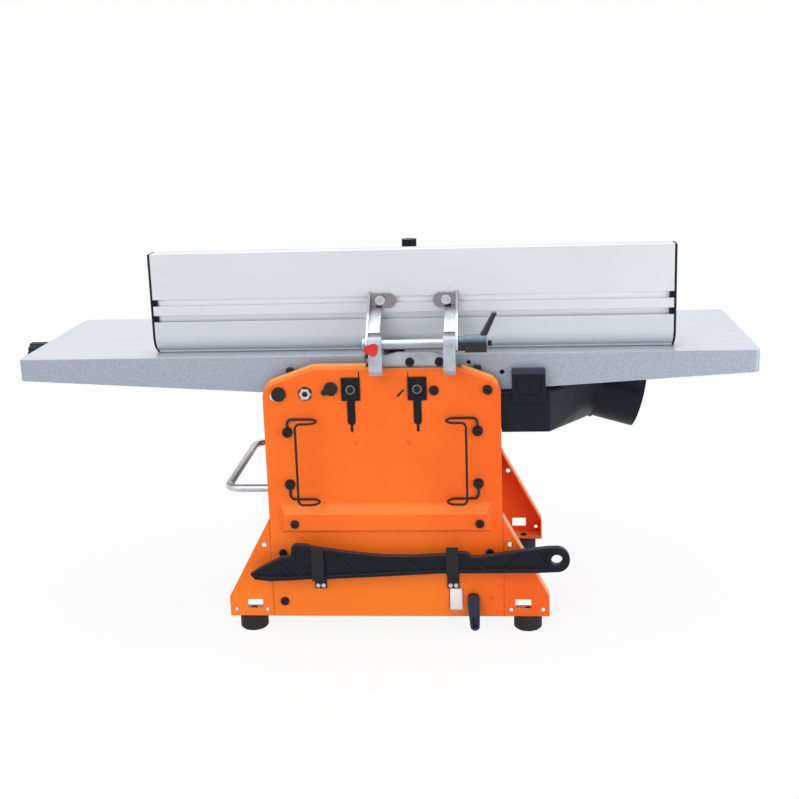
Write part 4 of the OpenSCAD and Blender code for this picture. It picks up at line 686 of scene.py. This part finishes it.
def addClutchPlate(spec):
    # a shallow tray: height climbs over the rim as a sine, then eases down to the panel
    # one flat face closes the back
    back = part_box("base_plate_rear")[0].y + spec["sheet"] + spec["proud"]
    rows, columns = spec["rows"], spec["columns"]
    u = np.linspace(spec["left"], spec["right"], columns)[None, :]
    v = np.linspace(spec["foot"], spec["top"], rows)[:, None]
    fromSides = np.minimum(u - spec["left"], spec["right"] - u)
    fromEnds = np.minimum(v - spec["foot"], spec["top"] - v)
    inset = np.minimum(fromSides, fromEnds)
    climb = np.sin(np.clip(inset / spec["rim"], 0.0, 1.0) * np.pi / 2.0)
    drop = np.clip((inset - spec["rim"]) / spec["rim"], 0.0, 1.0)
    y = back - spec["proud"] * climb + spec["panel"] * drop * drop * (3.0 - 2.0 * drop)
    points = np.stack(np.broadcast_arrays(u, y, v), -1)
    count = np.arange(rows * columns).reshape(rows, columns)
    border = np.concatenate([count[0, :-1], count[:-1, -1], count[-1, :0:-1], count[:0:-1, 0]])
    faces = gridFaces(rows, columns, False).tolist() + [border[::-1].tolist()]
    addPiece("clutchPlate", points, faces, "frame", "fence_alu", "plate_white")


addClutchPlate(plateSpec)

# rivets low on the base's wings
rivetSpec = {
    "middle": 0.017,
    "across": (-0.197, -0.1565, 0.1565, 0.197),
    "height": 0.0305,
    "radius": 0.0023,
    "rise": 0.0009,
    "shank": 0.0018,
    "lean": 1.5,  # angle at the dome's last ring
    "rings": 8,
    "around": 24,
}


def addWingRivets(spec):
    # a straight shank under a dome: radius shrinks as the cosine, height grows as the sine
    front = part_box("base_plate_rear")[0].y
    lean = np.concatenate([[0.0], np.linspace(0.0, spec["lean"], spec["rings"])])[:, None]
    around = ringAngles(spec["around"])[None, :]
    radius = spec["radius"] * np.cos(lean)
    y = front - spec["rise"] * np.sin(lean) + 0.0 * around
    y[0] += spec["shank"]
    one = np.stack([radius * np.cos(around), y, radius * np.sin(around)], -1)
    spots = np.zeros((len(spec["across"]), 1, 1, 3))
    spots[:, 0, 0, 0] = spec["middle"] + np.array(spec["across"])
    spots[:, 0, 0, 2] = spec["height"]
    faces = tubeFaces(len(lean), spec["around"], len(spots))
    addPiece("wingRivets", spots + one, faces, "frame", "zinc", "plate_white")


addWingRivets(rivetSpec)

# raised marks on the switch: a bar to start, a ring to stop
markSpec = {
    "proud": 0.0005,
    "bar": 0.0011,  # half width
    "barHalf": 0.0042,  # half length without its ends
    "barLean": 1.45,  # angle at the bead's last ring
    "barRings": 18,
    "barAround": 16,
    "ring": 0.0052,
    "line": 0.0010,
    "ringSteps": 48,
    "ringAround": 12,
}


def addStartMark(spec):
    # a long bead: rings shrink to each end as a half circle does; half of it is in the button
    low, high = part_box("start_button")
    middle = (low + high) / 2
    lean = np.linspace(-spec["barLean"], spec["barLean"], spec["barRings"])[:, None]
    around = ringAngles(spec["barAround"])[None, :]
    x = middle.x + spec["bar"] * np.cos(lean) * np.cos(around)
    y = high.y + spec["proud"] * np.cos(lean) * np.sin(around)
    z = middle.z + spec["barHalf"] * np.sign(lean) + spec["bar"] * np.sin(lean)
    points = np.stack(np.broadcast_arrays(x, y, z), -1)
    faces = tubeFaces(spec["barRings"], spec["barAround"])
    addPiece("startMark", points, faces, "start_button", "fence_alu")


def addStopMark(spec):
    # a ring of oval section: half of it stands out of the button
    low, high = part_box("stop_button")
    middle = (low + high) / 2
    steps, sides = spec["ringSteps"], spec["ringAround"]
    about = ringAngles(steps)[:, None]
    around = ringAngles(sides)[None, :]
    radius = spec["ring"] + spec["line"] * np.cos(around)
    x = middle.x + radius * np.cos(about)
    y = high.y + spec["proud"] * np.sin(around)
    z = middle.z + radius * np.sin(about)
    points = np.stack(np.broadcast_arrays(x, y, z), -1)
    faces = gridFaces(steps + 1, sides, True) % (steps * sides)  # the last ring is the first
    addPiece("stopMark", points, faces.tolist(), "stop_button", "fence_alu")


addStartMark(markSpec)
addStopMark(markSpec)
print("details: thread, plate, rivets and switch marks")
